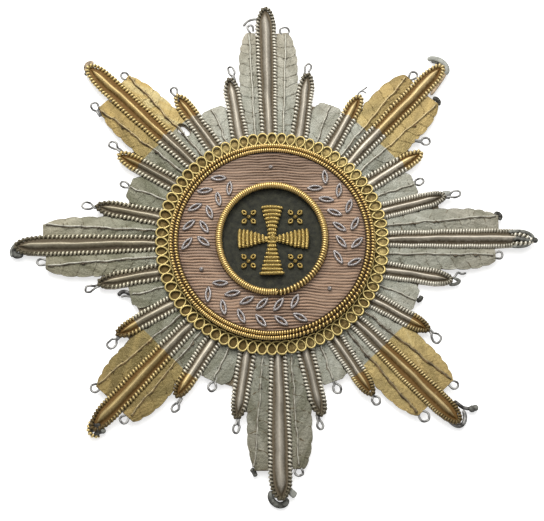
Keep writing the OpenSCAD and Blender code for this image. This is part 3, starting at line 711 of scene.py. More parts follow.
def foil(stuff, blade, seed, tone, folds, rise, hole=None):
    """Crimped foil between an inner and an outer line, in scales with a vein along them."""
    axis, side, inner, outer, vein, u0, u1 = blade
    rows, place, shade = fold_rows(u0, u1, seed)
    f = (rows - u0) / (u1 - u0)
    g = np.concatenate([np.linspace(0, 1, 12), np.linspace(1, 2, 14)[1:]])[None]
    u = rows + np.zeros_like(g)
    middle = vein(rows)
    loose = clamp(np.minimum(f, 1 - f) * 6)
    for _ in range(2):
        low, high = inner(u), outer(u)
        v = np.where(g < 1, low + (middle - low) * g, middle + (high - middle) * (g - 1))
        bent = 0.3 * np.abs(v - middle) ** 1.3 + 0.12 * wander(v + rows, 3, seed + 11)
        u = rows + loose * bent
    v = v + 0.22 * (np.sin(math.pi * place) ** 0.7 - 0.75) * clamp(g - 1) ** 3
    crown = 1 - np.abs(g - 1) ** 1.6
    ridge = np.exp(-((v - middle) / 0.22) ** 2)
    z = CARD_Z + FOIL_T + rise * (0.75 * crown + 0.2 * ridge) + 0.15 * folds * (1 - place)
    z = z + 0.05 * wander(u + 3 * v, 1.7, seed + 7) * (1 - np.abs(g - 1) ** 4)
    z = np.maximum(z, CARD_Z + 0.2)
    # Painted shade: darker along the creases of the folds, at both edges, and in thin lines either
    # side of the vein; the foil also darkens towards its tip.
    crease = np.minimum(np.exp(-place / 0.05) + 0.5 * np.exp((place - 1) / 0.04), 1)
    faded = np.clip(0.5 + 0.8 * wander(v * 1.3 + u, 4, seed + 3), 0, 1.2)
    soil = folds * 1.1 * crease * faded
    soil = soil + 0.3 * clamp(1 - g * 3) + 0.2 * clamp(g * 3 - 5)
    soil = soil + 0.22 * np.exp(-((np.abs(v - middle) - 0.28) / 0.1) ** 2)
    soil = soil + 0.2 * clamp(f * 8 - 7)
    tint = np.interp(f, [0.2, 0.5], tone) + 0.9 * shade
    tint = tint + 0.18 * wander(u * 0.8 + 1.7 * v, 7, seed + 17)
    grids = raise_to(axis.at(u, side * v), z), soil, tint
    if side > 0:
        grids = [grid[:, ::-1] for grid in grids]
    stuff.slab(grids[0], CARD_Z, *grids[1:], hole)


def vein_strands(light, dark, blade, seed, top, look, short_of):
    """A raised light strand along the vein, a dark line with knots on its shaded side painted as
    its shadow, and stitches.
    """
    axis, side, _, _, vein, u0, u1 = blade
    thick, sway, knots, darkening, worn = look
    u0, u1 = u0 + 0.5, u1 - short_of
    u = np.arange(u0, u1, 0.25)
    v = vein(u) + sway * wander(u, 8, seed) + 0.15 * sway * wander(u, 2, seed + 1)
    z = CARD_Z + FOIL_T + top + 0.07
    light.tube(raise_to(axis.at(u, side * v), z), STRAND_R * (1 + 0.12 * wander(u, 2, seed + 4)),
               soil=worn + 0.15 * wander(u, 3, seed + 5))
    # Painted shadow: a dark tube with dark knots runs beside the strand on its side towards -Y.
    shaded = 0.2 if side * axis.side[1] < 0 else -0.2
    radius = thick * np.clip(0.75 + 0.45 * wander(u, 3.1, seed + 8), 0.2, 1.3)
    soil = darkening * np.clip(0.8 + 0.6 * wander(u, 4.3, seed + 9), 0.2, 1.5)
    dark.tube(raise_to(axis.at(u, side * (v + shaded)), z - 0.03), radius, 6, soil=soil, shade_and_dirt=0.2)
    local = np.random.default_rng(seed)
    for _ in range(knots):
        k = local.integers(5, len(u) - 5)
        s = np.linspace(-0.5, 0.5, 6)
        line = axis.at(u[k] + s, side * (v[k] + shaded * 1.2 + 0.2 * np.cos(6 * s)))
        dark.tube(raise_to(line, z + 0.05), 0.15 * np.sqrt(1.02 - (2 * s) ** 2), 7, soil=darkening)
    spot = u0 + local.uniform(1, 2)
    while spot < u1 - 0.8:
        across = np.linspace(-0.42, 0.42, 7)
        lift = 0.14 * (1 - (across / 0.42) ** 2)
        lean = local.uniform(-0.3, 0.3)
        line = axis.at(spot + lean * across + 0.5 * across ** 2, side * (vein(spot) + across))
        dark.tube(raise_to(line, z + lift - 0.02), STITCH_R, 5, soil=0.5)
        spot += local.uniform(2.2, 5)


def feather(i, s):
    """A feather's axis, side of it, inner and outer line, vein and two ends."""
    ray, short = long_ray(i), short_ray(i, s)
    tip_v, reach, widest = FEATHER[i][s]
    u0, u1 = FOIL_FOOT, reach * FEATHER_REACH - FOOT_R
    foot_in = ray.half_w(u0) + BESIDE_CORD
    foot_v = (foot_in + ray.clear_of(short, u0)) / 2

    def inner(u):
        return ray.half_w(np.minimum(u, ray.length)) + BESIDE_CORD - TUCK

    def outer(u):
        edge = widest * FOIL_HALF_W * lookup(FOIL_EDGE, (u - u0) / (u1 - u0))
        return np.minimum(edge, ray.clear_of(short, u) + TUCK)

    def vein(u):
        return foot_v + (tip_v * FOIL_HALF_W - foot_v) * (u - u0) / (u1 - u0)
    return ray, 2 * s - 1, inner, outer, vein, u0, u1


def gap_leaf(i):
    """The same of the leaf between an arm and the next."""
    before, after = short_ray(i, 1), short_ray((i + 1) % len(ARMS), 0)
    aside, reach = LEAF[i]
    foot = unit(before.start + after.start) * (FOOT_R + FOIL_FOOT)
    axis = Axis(foot, polar(reach * LEAF_REACH, ARM_TURN * (i + 0.5) + aside))

    def edge(u, ray):
        width = LEAF_W * lookup(LEAF_EDGE, u / axis.length)
        return np.minimum(width, axis.clear_of(ray, u) + TUCK)

    def vein(u):
        return 0.12 * wander(u, 6, 300 + i)
    return axis, 1, lambda u: -edge(u, before), lambda u: edge(u, after), vein, 0, axis.length


def worn_hole(blade):
    """Distance of flat points from the worn hole's middle, as a share of its edge."""
    ray, _, inner, outer = blade[:4]
    u = HOLE_REACH - FOOT_R
    middle = ray.at(u, -(inner(u) + outer(u)) / 2 - 0.3)

    def share(points):
        along, beside = (points - middle) @ ray.way, (points - middle) @ ray.side
        return np.hypot(along / 1.45, beside / 0.95), middle
    return share


def make_foil(gathered, arm, slot, names, node, over=None):
    """Makes the foil, the veins' light strands, and the dark lines painted as their shadows, with
    the stitches.
    """
    for stuff, name, material in zip(gathered, names, (foil_metal, vein_metal, shadow_and_stitch_thread)):
        stands_for = f"{node}_{arm}" if material is foil_metal else None
        stuff.make(f"{name}_{arm}", material, slot, stands_for, over)


def make_feathers():
    for i, arm in enumerate(ARMS):
        sheet, light, dark = gathered = Stuff(), Stuff(), Stuff()
        for s in (0, 1):
            blade = feather(i, s)
            hole = worn_hole(blade) if (arm, s) == ("nw", 0) else None
            seed = 200 + 2 * i + s
            foil(sheet, blade, seed, TONE[i][s], TONE[i][2], FOIL_RISE, hole)
            vein_strands(light, dark, blade, seed + 40, 0.9 * FOIL_RISE, VEIN[i], 0.3)
        make_foil(gathered, arm, finish_of(arm, "foil"), ("foil", "veins", "vein_shadows_and_stitches"),
                  "feathers", over_change(i, 2))


def make_leaves():
    for i, arm in enumerate(ARMS):
        sheet, light, dark = gathered = Stuff(), Stuff(), Stuff()
        blade = gap_leaf(i)
        foil(sheet, blade, 310 + i, (LEAF_TONE[i], LEAF_TONE[i]), LEAF_FOLDS, 0.5 * FOIL_RISE)
        vein_strands(light, dark, blade, 330 + i, 0.45 * FOIL_RISE, LEAF_VEIN, 0.2)
        make_foil(gathered, arm, "silver_foil", ("leaf_foil", "leaf_vein", "leaf_shadows_and_stitches"),
                  "gap_leaf")


# Medallion

# Pitch of the medallion's ropes at bearings round it: drawn tight where the turns close up
ROPE_BEARINGS = [0, 55, 65, 105, 120, 215, 230, 275, 277, 290, 330, 360]
ROPE_PITCH = {
    "rope_outer": [0.52, 0.44, 0.33, 0.33, 0.5, 0.52, 0.34, 0.38, 0.42, 0.72, 0.72, 0.52],
    "rope_inner": [0.5, 0.46, 0.36, 0.36, 0.5, 0.52, 0.34, 0.4, 0.43, 0.62, 0.6, 0.5],
    "rope_centre": [0.4, 0.36, 0.34, 0.34, 0.36, 0.36, 0.36, 0.38, 0.66, 0.64, 0.5, 0.4],
}
# Bearing at which the centre rope's two ends meet, out of line
ROPE_JOIN = 276
# Width of the cross's bars at distances from its middle
UPRIGHT_W = [
    (0, 1.35), (1.2, 1.4), (2, 1.65), (3, 2.15), (4, 2.8), (5, 3.3), (5.5, 3.6), (6.3, 4.15),
]
LEVEL_W = [(0, 1), (1, 1.05), (2.2, 1.75), (3.5, 2.7), (4.2, 3.1), (6, 3.5)]


def oval(rx, ry, z, count=360):
    """Closed level line round the middle."""
    return raise_to(around(1, full_turn(count)) * [rx, ry], z)


def make_ropes():
    ledge = ROPE_LEDGE_Z + GAP + ROPE_D / 2
    outer_r, inner_r = PAD_R - ROPE_D / 2, PAD_R - 1.5 * ROPE_D - GAP
    centre_z = DISC_Z + 2 * GAP + CENTRE_ROPE_D / 2
    for name, rx, ry, z, coil_r, wire_r in (
            ("rope_outer", outer_r, outer_r, ledge, 0.22, 0.17),
            ("rope_inner", inner_r, inner_r, ledge, 0.22, 0.17),
            ("rope_centre", CENTRE_ROPE_X, CENTRE_ROPE_Y, centre_z, 0.41, 0.19)):
        stuff = Stuff()
        bearings = np.arange(360)
        path = oval(rx, ry, z)
        if name == "rope_centre":
            past = bearings - ROPE_JOIN
            shift = np.where(past < 0, -0.14 * np.exp(past / 12), 0.16 * np.exp(-past / 14))
            path[:, :2] *= 1 + shift[:, None] / ry
            out, turn = polar(1, ROPE_JOIN), np.linspace(-0.3, math.pi + 0.3, 16)
            tie = out * ry + np.cos(turn)[:, None] * (0.62 * out + 0.3 * left(out))
            tie = raise_to(tie, z + 0.62 * np.sin(turn))
            stuff.tube(tie, 0.11, 6, tie - raise_to(out * ry, z), soil=1)
        pitch = np.interp(bearings, ROPE_BEARINGS, ROPE_PITCH[name])
        stuff.coil(path, coil_r, wire_r, pitch, 14, 7, closed=True)
        stuff.make(f"coiled_{name}", rope_metal, "gold_rope", name)


def make_loop_ring():
    """One wire laid in overlapping loops round the medallion, over a scalloped brown base painted
    dark as the shade inside the loops.
    """
    t = TURN * np.arange(LOOPS * LOOP_STEPS) / LOOP_STEPS
    middle_r = LOOP_RING_R - LOOP_WIRE_R - LOOP_DEEP
    bearing = t / LOOPS - (LOOP_DEEP + 0.06 * wander(t, 45, 6)) * np.sin(t) / middle_r
    r = middle_r + (LOOP_DEEP + 0.04 * wander(t, 60, 5)) * np.cos(t)
    z = CORD_TOP_Z + GAP + 0.3 + 0.11 * np.sin(t) + 0.1 * np.cos(t)
    stuff = Stuff()
    stuff.tube(raise_to(around(r, bearing), z), LOOP_WIRE_R, closed=True)
    a = full_turn(LOOPS * 12)
    edge = LOOP_RING_R - 0.75 + 0.55 * np.abs(np.cos(a * LOOPS / 2)) ** 0.6
    foot = FOOT_R + 0.05
    rows = []
    for share, height in ((0, 0.02), (0, 0.1), (0.5, 0.06), (0.93, 0.1), (1, 0.02)):
        rows.append(raise_to(around(foot + (edge - foot) * share, a), CORD_TOP_Z + GAP + height))
    # Painted shade: the base is darkened, most towards bearing 215.
    dim = 0.8 + 0.14 * np.cos(a - math.radians(215))
    stuff.ring_solid(np.array(rows), dim + 0.12 * wander(a * 20, 21, 9))
    stuff.make("wire_loops", wire_metal, "gold_wire", "loop_ring")


def make_pink_field():
    """Padded ring of thread laid in rows from side to side, domed towards the middle."""
    rings, count = 60, 900
    r = np.append(FIELD_IN_R - 0.9, np.linspace(FIELD_IN_R - 0.45, FIELD_OUT_R, rings))[:, None]
    flat = around(r, full_turn(count))
    x, y = flat[..., 0], flat[..., 1]
    drift = 0.16 * wander(x + 0.2 * y, 17, 401) + 0.05 * wander(x + 0.9 * y, 5.5, 402)
    phase = (y + drift) / PINK_ROW
    share = clamp((r - FIELD_IN_R) / (FIELD_OUT_R - FIELD_IN_R))
    dip = np.abs(np.sin(math.pi * phase))
    deep = 1 + 0.6 * wander(x * 0.5 + 9 * np.floor(phase), 9, 403)
    # Deeper grooves, with more painted shade, towards the top.
    deep = deep + 0.3 * clamp((y - 10) / 3)
    z = FIELD_TOP_Z + (FIELD_EDGE_Z - FIELD_TOP_Z) * share - 0.22 * (1 - dip) ** 1.4 * deep
    z[0] = DISC_Z + GAP
    # Painted shade in the grooves between the rows, and painted shadow along both edges beside the
    # ropes.
    soil = (1 - dip) ** 1.2 * (0.65 + 0.5 * deep)
    soil = soil + 0.4 * clamp(share * 7 - 6) + 0.4 * clamp(1 - share * 6)
    shades = np.random.default_rng(404).uniform(0.2, 1, 120)
    # Painted shadow: rows towards the top are toned darker.
    tone = shades[(np.floor(phase) + 60).astype(int)] - 0.7 * clamp((y - 9.5) / 3)
    under_rope = PAD_R - 0.4
    below = ((FIELD_OUT_R, ROPE_LEDGE_Z), (under_rope, ROPE_LEDGE_Z), (under_rope, CARD_Z))
    skin = [raise_to(flat[0], CARD_Z), *raise_to(flat, z)]
    skin += [oval(edge, edge, height, count) for edge, height in below]
    stuff = Stuff()
    # Painted shade: the faces below, under the ropes, are fully darkened.
    hidden = ((1, len(below)), (0, 0))
    stuff.ring_solid(np.array(skin), np.pad(soil, hidden, constant_values=1), np.pad(tone, hidden))
    stuff.make("laid_pink_field", pink_threads(), "pink_thread", "pink_field")


def make_disc():
    """Charcoal cloth, slightly sunk and gently rippled all over."""
    rings, count = 26, 200
    flat = around(np.linspace(0.2, DISC_R, rings)[:, None], full_turn(count))
    x, y = flat[..., 0], flat[..., 1]
    z = DISC_Z - 0.03 + 0.03 * wander(x + 0.4 * y, 3.1, 411) + 0.03 * wander(y - 0.3 * x, 2.3, 412)
    ends = [list(range(count)), list(range(rings * count, (rings + 1) * count))[::-1]]
    stuff = Stuff()
    stuff.add(np.concatenate([raise_to(flat, z), raise_to(flat[-1:], CARD_Z)]),
              cells(rings + 1, count, False, True).tolist() + ends)
    stuff.make("charcoal_disc", charcoal, "charcoal_cloth", "centre_field")


def purl_loop(stuff, foot, way, length, width, wire, z, lean=0):
    """Leaf-shaped loop of purl from its foot along way, on a surface that falls by lean."""
    t = np.linspace(0, 1, 14)
    bow = width / 2 - wire / 2
    half = np.stack([wire * 0.6 + (length - 1.2 * wire) * t, bow * np.sin(math.pi * t) ** 0.8], -1)
    loop = np.concatenate([half, (half * [1, -1])[-2:0:-1]])
    flat = foot + loop[:, :1] * way + loop[:, 1:] * left(way)
    fall = lean * (np.linalg.norm(flat, axis=1) - np.linalg.norm(foot))
    stuff.tube(raise_to(flat, z - fall), wire / 2, closed=True)


def knot(stuff, place, z):
    """A small coil of purl, wound up into a boss."""
    t = np.linspace(0, 2.6, 60)
    r = np.maximum(KNOT_D / 2 * (0.62 - 0.2 * t), 0.03)
    stuff.tube(raise_to(place + around(r, TURN * t), z + 0.12 * t), KNOT_WIRE_R, 7)


def make_laurel():
    field_w = FIELD_OUT_R - FIELD_IN_R
    middle_r = (FIELD_IN_R + FIELD_OUT_R) / 2
    slope = (FIELD_TOP_Z - FIELD_EDGE_Z) / field_w
    length = (field_w / 2 - LAUREL_MARGIN - LAUREL_STEM / 2) / math.sin(math.radians(LAUREL_SPLAY))
    top = (FIELD_TOP_Z + FIELD_EDGE_Z) / 2 + 0.2
    stuff = Stuff()
    for first, pairs in SPRAYS:
        for k in range(pairs):
            bearing = first + k * LAUREL_PITCH
            out = polar(1, bearing)
            for side in (-1, 1):
                foot = out * (middle_r + side * LAUREL_STEM / 2) - left(out) * length / 2
                way = polar(1, bearing + 90 - side * LAUREL_SPLAY + rng.uniform(-4, 4))
                z = top - slope * (np.linalg.norm(foot) - middle_r)
                purl_loop(stuff, foot, way, length, LAUREL_W, LEAF_PURL_D, z, slope)
    for bearing in KNOTS:
        knot(stuff, polar(middle_r, bearing), top - 0.1)
    stuff.make("purl_laurel", purl_silver, "silver_purl", "laurel")


def make_rosettes():
    petal = (ROSETTE_W - KNOT_D) / 2 - GAP
    diagonals = [polar(1, 45 + 90 * k) for k in range(4)]
    stuff = Stuff()
    for quarter in diagonals:
        centre = quarter * ROSETTE_OFF * math.sqrt(2)
        knot(stuff, centre, DISC_Z + 0.15)
        for way in diagonals:
            foot = centre + way * (KNOT_D / 2 + GAP)
            purl_loop(stuff, foot, way, petal, PETAL_W, PETAL_PURL_D, DISC_Z + 0.22)
    stuff.make("purl_rosettes", purl_gold, "gold_purl", "rosettes")


def make_cross():
    """Ridges of gold purl over padding, those of the upright bar running through the middle."""
    stuff = Stuff()
    ridges = [(90, 5.5 - UPRIGHT_PITCH * k, UPRIGHT_W, 0.06) for k in range(18)]
    ridges += [(0, 5.85 - LEVEL_PITCH * k, LEVEL_W, 0) for k in range(8)]
    ridges += [(0, -5.45 + LEVEL_PITCH * k, LEVEL_W, 0) for k in range(7)]
    s = np.linspace(-1, 1, 19)
    radius = RIDGE_R * (1 - 0.35 * np.abs(s) ** 6)
    for bearing, x, table, lift in ridges:
        way = polar(1, bearing)
        half = lookup(table, abs(x)) / 2 * rng.uniform(0.97, 1.03)
        bow = 0.12 * (1 - s ** 2) * (1 if x > 0 else -0.6) + 0.04 * rng.standard_normal() * s
        flat = way * (x + bow)[:, None] + left(way) * (half * s)[:, None]
        z = DISC_Z + 0.6 + lift - 0.3 * np.abs(s) ** 3
        stuff.tube(raise_to(flat, z), radius, 10, flat=0.85)
    g = np.linspace(-1, 1, 7)
    for bearing, table, low, high, top in (
            (90, UPRIGHT_W, -6.05, 5.6, 0.5), (0, LEVEL_W, -5.6, 5.95, 0.46)):
        way = polar(1, bearing)
        x = np.linspace(low, high, 25)[:, None]
        half = lookup(table, np.abs(x)) / 2 - 0.12
        flat = way * x[..., None] - left(way) * (half * g)[..., None]
        # Painted shade: the padding between the ridges is half darkened.
        stuff.slab(raise_to(flat, DISC_Z + top - 0.15 * g ** 2), DISC_Z + 0.02, 0.5)
    t = np.linspace(0, 1.7, 40)
    curl = polar(0.12 + 0.26 * t, 200 + 360 * t)
    stuff.tube(raise_to(curl, DISC_Z + 0.98 - 0.15 * t), KNOT_WIRE_R)
    stuff.make("purl_cross", purl_gold, "gold_purl", "cross")


# Wires and loose ends

# Sewing loops: bearing, distance and place beside it, size across and along, lean, open share of
# the ring, soil
LOOP_SHAPES = [
    (1.2, 38.6, -2.9, 1.4, 1.6, 10, 0.1, 0.4), (47.6, 39.8, 2.6, 1.5, 1.7, -10, 0.1, 0.6),
    (91.6, 40.3, 2.7, 1.1, 1.5, 10, 0.3, 0.4), (91.6, 39.7, -3.3, 1.9, 1.6, 25, 0.15, 0.5),
    (134.7, 39.8, 4.3, 1.5, 1.7, -15, 0.1, 0.5), (134.7, 40.3, -3.4, 1.4, 1.7, 5, 0.1, 0.6),
    (180.7, 39.2, 2.9, 1.3, 2, 0, 0.1, 0.4), (227.3, 39.1, 2.8, 1.5, 1.7, 0, 0.1, 0.5),
    (227.3, 38.6, -4.5, 1.6, 1.7, -20, 0.1, 0.5), (271.9, 39.5, 3.1, 1.5, 1.7, 10, 0.1, 0.5),
    (315, 38.9, 3.9, 1.5, 1.8, 10, 0.1, 0.4), (315, 39.2, -3.5, 1.9, 1.9, -10, 0.1, 0.4),
    (16.7, 32.9, -0.5, 1.3, 1.9, 0, 0.1, 0.3), (33.8, 32.7, 0.6, 1.5, 1.5, -40, 0.1, 0.5),
    (79, 33.3, 0, 1.2, 1.7, -10, 0.25, 0.2), (103.9, 32.8, -0.7, 1.2, 1.8, 5, 0.1, 0.5),
    (122.1, 33, -0.4, 1.3, 1.7, -10, 0.1, 0.6), (148, 33, -0.6, 1.4, 1.7, -5, 0.1, 0.5),
    (167.4, 32.6, 0.3, 1.5, 1.9, 5, 0.05, 0.4), (193.8, 32, 0.5, 1.3, 1.7, 10, 0.15, 0.7),
    (211, 32.2, 1.4, 1.6, 1.9, 20, 0.1, 0.5), (239.4, 32.9, 0.8, 1.3, 1.6, 0, 0.1, 0.5),
    (258.9, 32.8, 0.4, 1.2, 1.6, 0, 0.15, 0.5), (285.2, 32.7, -0.6, 1.1, 1.5, 0, 0.1, 0.5),
    (301.9, 32.5, 0.2, 1.5, 1.5, 0, 0.1, 0.5), (330.2, 32.3, -0.8, 1.7, 1.9, -25, 0.1, 0.5),
    (22.5, 27.9, 0.6, 1.3, 1.6, 0, 0.1, 0.5), (157.5, 27.7, -0.1, 1.2, 1.6, 0, 0.1, 0.5),
    (247.5, 27.1, 0.4, 1.5, 1.6, 0, 0.1, 0.5), (292.5, 27.7, 0.3, 1.5, 1.7, 0, 0.1, 0.5),
]
# The other ends are given by places in the picture with a height.
# Bent wires: line, radius, soil
TIP_WIRES = [
    ([(259, 20, 1.2), (255, 19.6, 1.1), (250.5, 20.5, 0.8), (246.5, 22.6, 0.6),
      (243, 26.8, 0.5)], 0.25, 0.35),
    ([(356.5, 97.5, 1.5), (358.5, 93.5, 1.3), (362, 90.7, 1.1), (367.5, 87, 0.8)], 0.16, 0.5),
    ([(361, 91.5, 1.3), (363.5, 91.8, 1.1), (366.5, 93.5, 0.8)], 0.13, 0.4),
    ([(454, 401, 1.2), (459, 404.8, 1), (464, 408, 0.8), (472, 409.2, 0.7)], 0.32, 0.9),
    ([(440, 411.5, 1.2), (447.5, 418.7, 0.9), (454.3, 424.8, 0.8), (459.8, 426.2, 0.8),
      (463.8, 423.2, 0.8), (465.2, 417.5, 0.8), (463.6, 410, 0.8)], 0.36, 0.6),
    ([(452, 279.5, 1.2), (455.3, 276, 1.1), (458, 272.8, 1), (462, 274, 0.9),
      (466.5, 273, 0.7)], 0.2, 0.6),
    ([(118, 295.8, 0.6), (121.5, 292.3, 0.8), (126, 292, 1), (131, 294.8, 1.2)], 0.36, 1),
    ([(121, 297, 0.6), (125, 296, 0.8), (131, 296.8, 1.2)], 0.2, 0.5),
]
# Strips of foil and card: line, half width, flatness, soil, tan or grey
TIP_STRIPS = [
    ([(508, 231.8, 1.7), (516, 231.2, 1.9), (524, 231.8, 1.9), (530.5, 234.6, 1.6),
      (534.5, 239, 1.3)], 0.32, 0.8, 0.6, 0),
    ([(513, 239.5, 1.8), (518, 238.2, 2.1), (523.5, 239.4, 2.1), (529, 240.2, 1.8),
      (533, 240.5, 1.4)], 0.34, 0.8, 0.7, 0),
    ([(511, 246.2, 1.5), (518, 246.6, 1.6), (525, 245.8, 1.5),
      (531.5, 242.8, 1.3)], 0.3, 0.8, 0.5, 0),
    ([(442, 195.2, 1.2), (446.5, 194.8, 1.2), (451, 195.4, 1.2)], 0.75, 0.35, 0.3, 0),
    ([(427, 59.6, 0.5), (432, 58.8, 0.6), (438, 59.9, 0.8), (442.7, 62.6, 1), (445.8, 66.5, 1.2),
      (446.8, 71, 1.3), (444.5, 75, 1.3)], 0.5, 0.5, 0.1, 0),
    ([(431, 61.8, 0.5), (437, 63.3, 0.7), (441.5, 66, 0.9)], 0.22, 0.6, 0.9, 0),
    ([(446.6, 69, 1.2), (444, 75.5, 1.3), (439.8, 82.3, 1.3), (435, 89, 1.3),
      (430.5, 95.5, 1.3)], 0.34, 0.5, 0.2, 1),
    ([(94, 63, 1.2), (88.5, 64, 1.1), (86.2, 68, 1), (88, 72.5, 1.1)], 0.45, 0.5, 0.5, 1),
    ([(21, 242, 1.2), (14.6, 246.5, 0.9), (12, 252, 0.7), (13, 257, 0.7)], 0.42, 0.6, 0.45, 0),
    ([(18, 246, 1.2), (15, 251, 0.9), (16, 255.6, 0.9), (23.5, 254.5, 1.1)], 0.54, 0.7, 0.8, 0),
    ([(97, 423, 1.3), (97.5, 428, 1.2), (98.5, 431.5, 1.1), (99, 434.5, 0.9)], 0.62, 0.8, 1, 0),
    ([(91.5, 423, 1.2), (92.3, 428, 1.1), (94, 432, 1)], 0.55, 0.8, 1, 0),
    ([(271, 491, 1.2), (270.9, 498.5, 0.8), (275, 503.8, 0.6), (280.3, 505.6, 0.6),
      (285.2, 503.8, 0.7), (287.3, 498.5, 1)], 0.55, 0.7, 0.75, 0),
    ([(288, 489.5, 1.2), (292, 493.3, 1), (296, 496.6, 0.8)], 0.6, 0.3, 0.1, 0),
    ([(494, 213.5, 1.3), (498.5, 214, 1.2), (500.4, 217, 1), (498.5, 220, 0.9)], 0.4, 0.8, 0.95, 0),
    ([(432.5, 98.8, 1.3), (436.3, 99.3, 1.2), (438.6, 102.2, 1),
      (438, 105.6, 0.9)], 0.42, 0.8, 1, 0),
    ([(454, 278.2, 1.2), (459.3, 281, 1), (456, 284, 0.9), (449, 285, 1)], 0.3, 0.8, 0.65, 0),
    ([(416.5, 301, 0.9), (420, 299.5, 0.9), (422, 296, 0.8)], 0.42, 0.8, 1, 0),
    ([(251, 469, 1.2), (253.8, 472.2, 0.9), (256, 477, 0.7)], 0.4, 0.8, 0.85, 0),
]
# Knots: place, radius, soil
TIP_KNOTS = [
    ((535.2, 240.3, 1.2), 0.5, 0.85), ((472.2, 409, 0.8), 0.6, 0.75),
    ((475.4, 408, 0.8), 0.55, 0.6), ((102.8, 431, 1), 0.5, 0.5), ((86.3, 74, 1), 0.35, 1),
    ((96.5, 434.5, 0.9), 0.5, 0.95),
]
# Wound ends: line, pitch of the turns
TIP_CORDS = [
    ([(91.5, 421, 1.2), (88.6, 427, 1), (89.2, 432.5, 0.9), (93, 436, 0.9), (98.5, 436, 0.9)], 0.6),
    ([(512, 235.5, 1.8), (519, 234.6, 2), (525.5, 236.4, 2), (531.5, 239.8, 1.6)], 0.7),
    ([(513, 244, 1.7), (519.5, 243.4, 1.9), (526, 243, 1.8), (532, 241.4, 1.5)], 0.75),
]


def seen_at(px, py, z):
    """Point at a height that the camera sees at a place in the picture."""
    sin, cos = math.sin(TILT), math.cos(TILT)
    right, up = (px - MIDDLE_X) / FOCAL, (MIDDLE_Y - py) / FOCAL
    y = (up * (CAMERA_D - z * cos) - z * sin) / (cos - up * sin)
    return np.array([right * (CAMERA_D + y * sin - z * cos), y, z])


def seen_line(places):
    """Smooth line through places in the picture, each with its height."""
    return curve([seen_at(*place) for place in places])


def make_sewing_loops():
    stuff = Stuff()
    for k, (bearing, u, v, across, along, lean, gap, soil) in enumerate(LOOP_SHAPES):
        turn = np.linspace(TURN * gap / 2, TURN * (1 - gap / 2), 26)
        along, across = along - 0.05, across + 0.02
        x = -np.cos(turn) * along / 2 - 0.1
        y = np.sin(turn) * across / 2 * (0.85 + 0.15 * x / along * 2)
        last = 2 if gap < 0.2 else 0
        x = np.concatenate([x[0] - [1.2, 0.5], x, x[-1] - [0.5, 1.2][:last]])
        y = np.concatenate([[0.1, 0.15], y, [-0.15, -0.1][:last]])
        turn = np.concatenate([[0, 0], turn, [TURN, TURN][:last]])
        arm, out = polar(1, bearing), polar(1, bearing + lean)
        flat = u * arm + v * left(arm) + x[:, None] * out + y[:, None] * left(out)
        flat += 0.05 * np.stack([wander(turn, 3, 500 + k), wander(turn, 3, 540 + k)], -1)
        line = raise_to(flat, 1.3 + 0.14 * np.sin(turn / 2) + 0.06 * np.sin(turn))
        stuff.tube(line, SEWING_R, soil=0.75 * soil + 0.35 * wander(turn, 4, 580 + k))
    stuff.make("sewing_wires", sewing_metal, "wire", "sewing_loops")


def make_tips():
    wires, strips, cords = Stuff(), Stuff(), Stuff()
    for places, radius, soil in TIP_WIRES:
        line = seen_line(places)
        f = np.linspace(-1, 1, len(line))
        wires.tube(line, radius * np.sqrt(1.02 - f ** 12), shade_and_dirt=0.5,
                   soil=soil * 0.8 + 0.2 * wander(f, 1, 600))
    for places, radius, flat, soil, _ in TIP_STRIPS:
        line = seen_line(places)
        f = np.linspace(-1, 1, len(line))
        strips.tube(line, radius * np.sqrt(1.02 - f ** 8), 10, flat=flat, shade_and_dirt=0.5,
                    soil=soil * 0.8 + 0.12 * wander(f, 0.7, 601))
    f = np.linspace(-1, 1, 11)
    for place, radius, soil in TIP_KNOTS:
        line = seen_at(*place) + f[:, None] * [radius, 0, 0]
        strips.tube(line, radius * np.sqrt(1.01 - f ** 2), 12, soil=soil * 0.8, shade_and_dirt=0.5)
    for places, pitch in TIP_CORDS:
        cords.coil(smooth(seen_line(places)), WOUND_R, BULLION_WIRE_R, pitch)
    tan = [strip[-1] for strip in TIP_STRIPS] + [0] * len(TIP_KNOTS)
    past = np.repeat(np.where(tan, ALL_GILT, ALL_SILVER), [len(part) for part in strips.points])
    wires.make("tip_wires", sewing_metal, "wire")
    strips.make("tip_strips", scrap_metal, "wire", over=lambda points: past)
    cords.make("tip_cords", cord_metal, "gilt_cord", over=lambda points: -points[:, 0])


# Backing

def outline_loops(node):
    """Flat outlines of the card's upper face, in millimetres."""
    points = np.array([node.matrix_world @ vertex.co for vertex in node.data.vertices]) / MM
    order = np.unique(np.round(points[:, :2], 3), axis=0, return_inverse=True)[1].ravel()
    place = {key: points[k, :2] for k, key in enumerate(order)}
    edges = set()
    for face in node.data.polygons:
        if face.normal.z < 0.9 or abs(points[face.vertices[0], 2] - CARD_T) > 0.01:
            continue
        ring = [order[k] for k in face.vertices]
        for a, b in zip(ring, ring[1:] + ring[:1]):
            if (b, a) in edges:
                edges.remove((b, a))
            else:
                edges.add((a, b))
    after = dict(edges)
    loops = []
    while after:
        loop = [min(after)]
        while loop[-1] in after:
            loop.append(after.pop(loop[-1]))
        loops.append(np.array([place[key] for key in loop[:-1]]))
    return sorted(loops, key=len, reverse=True)


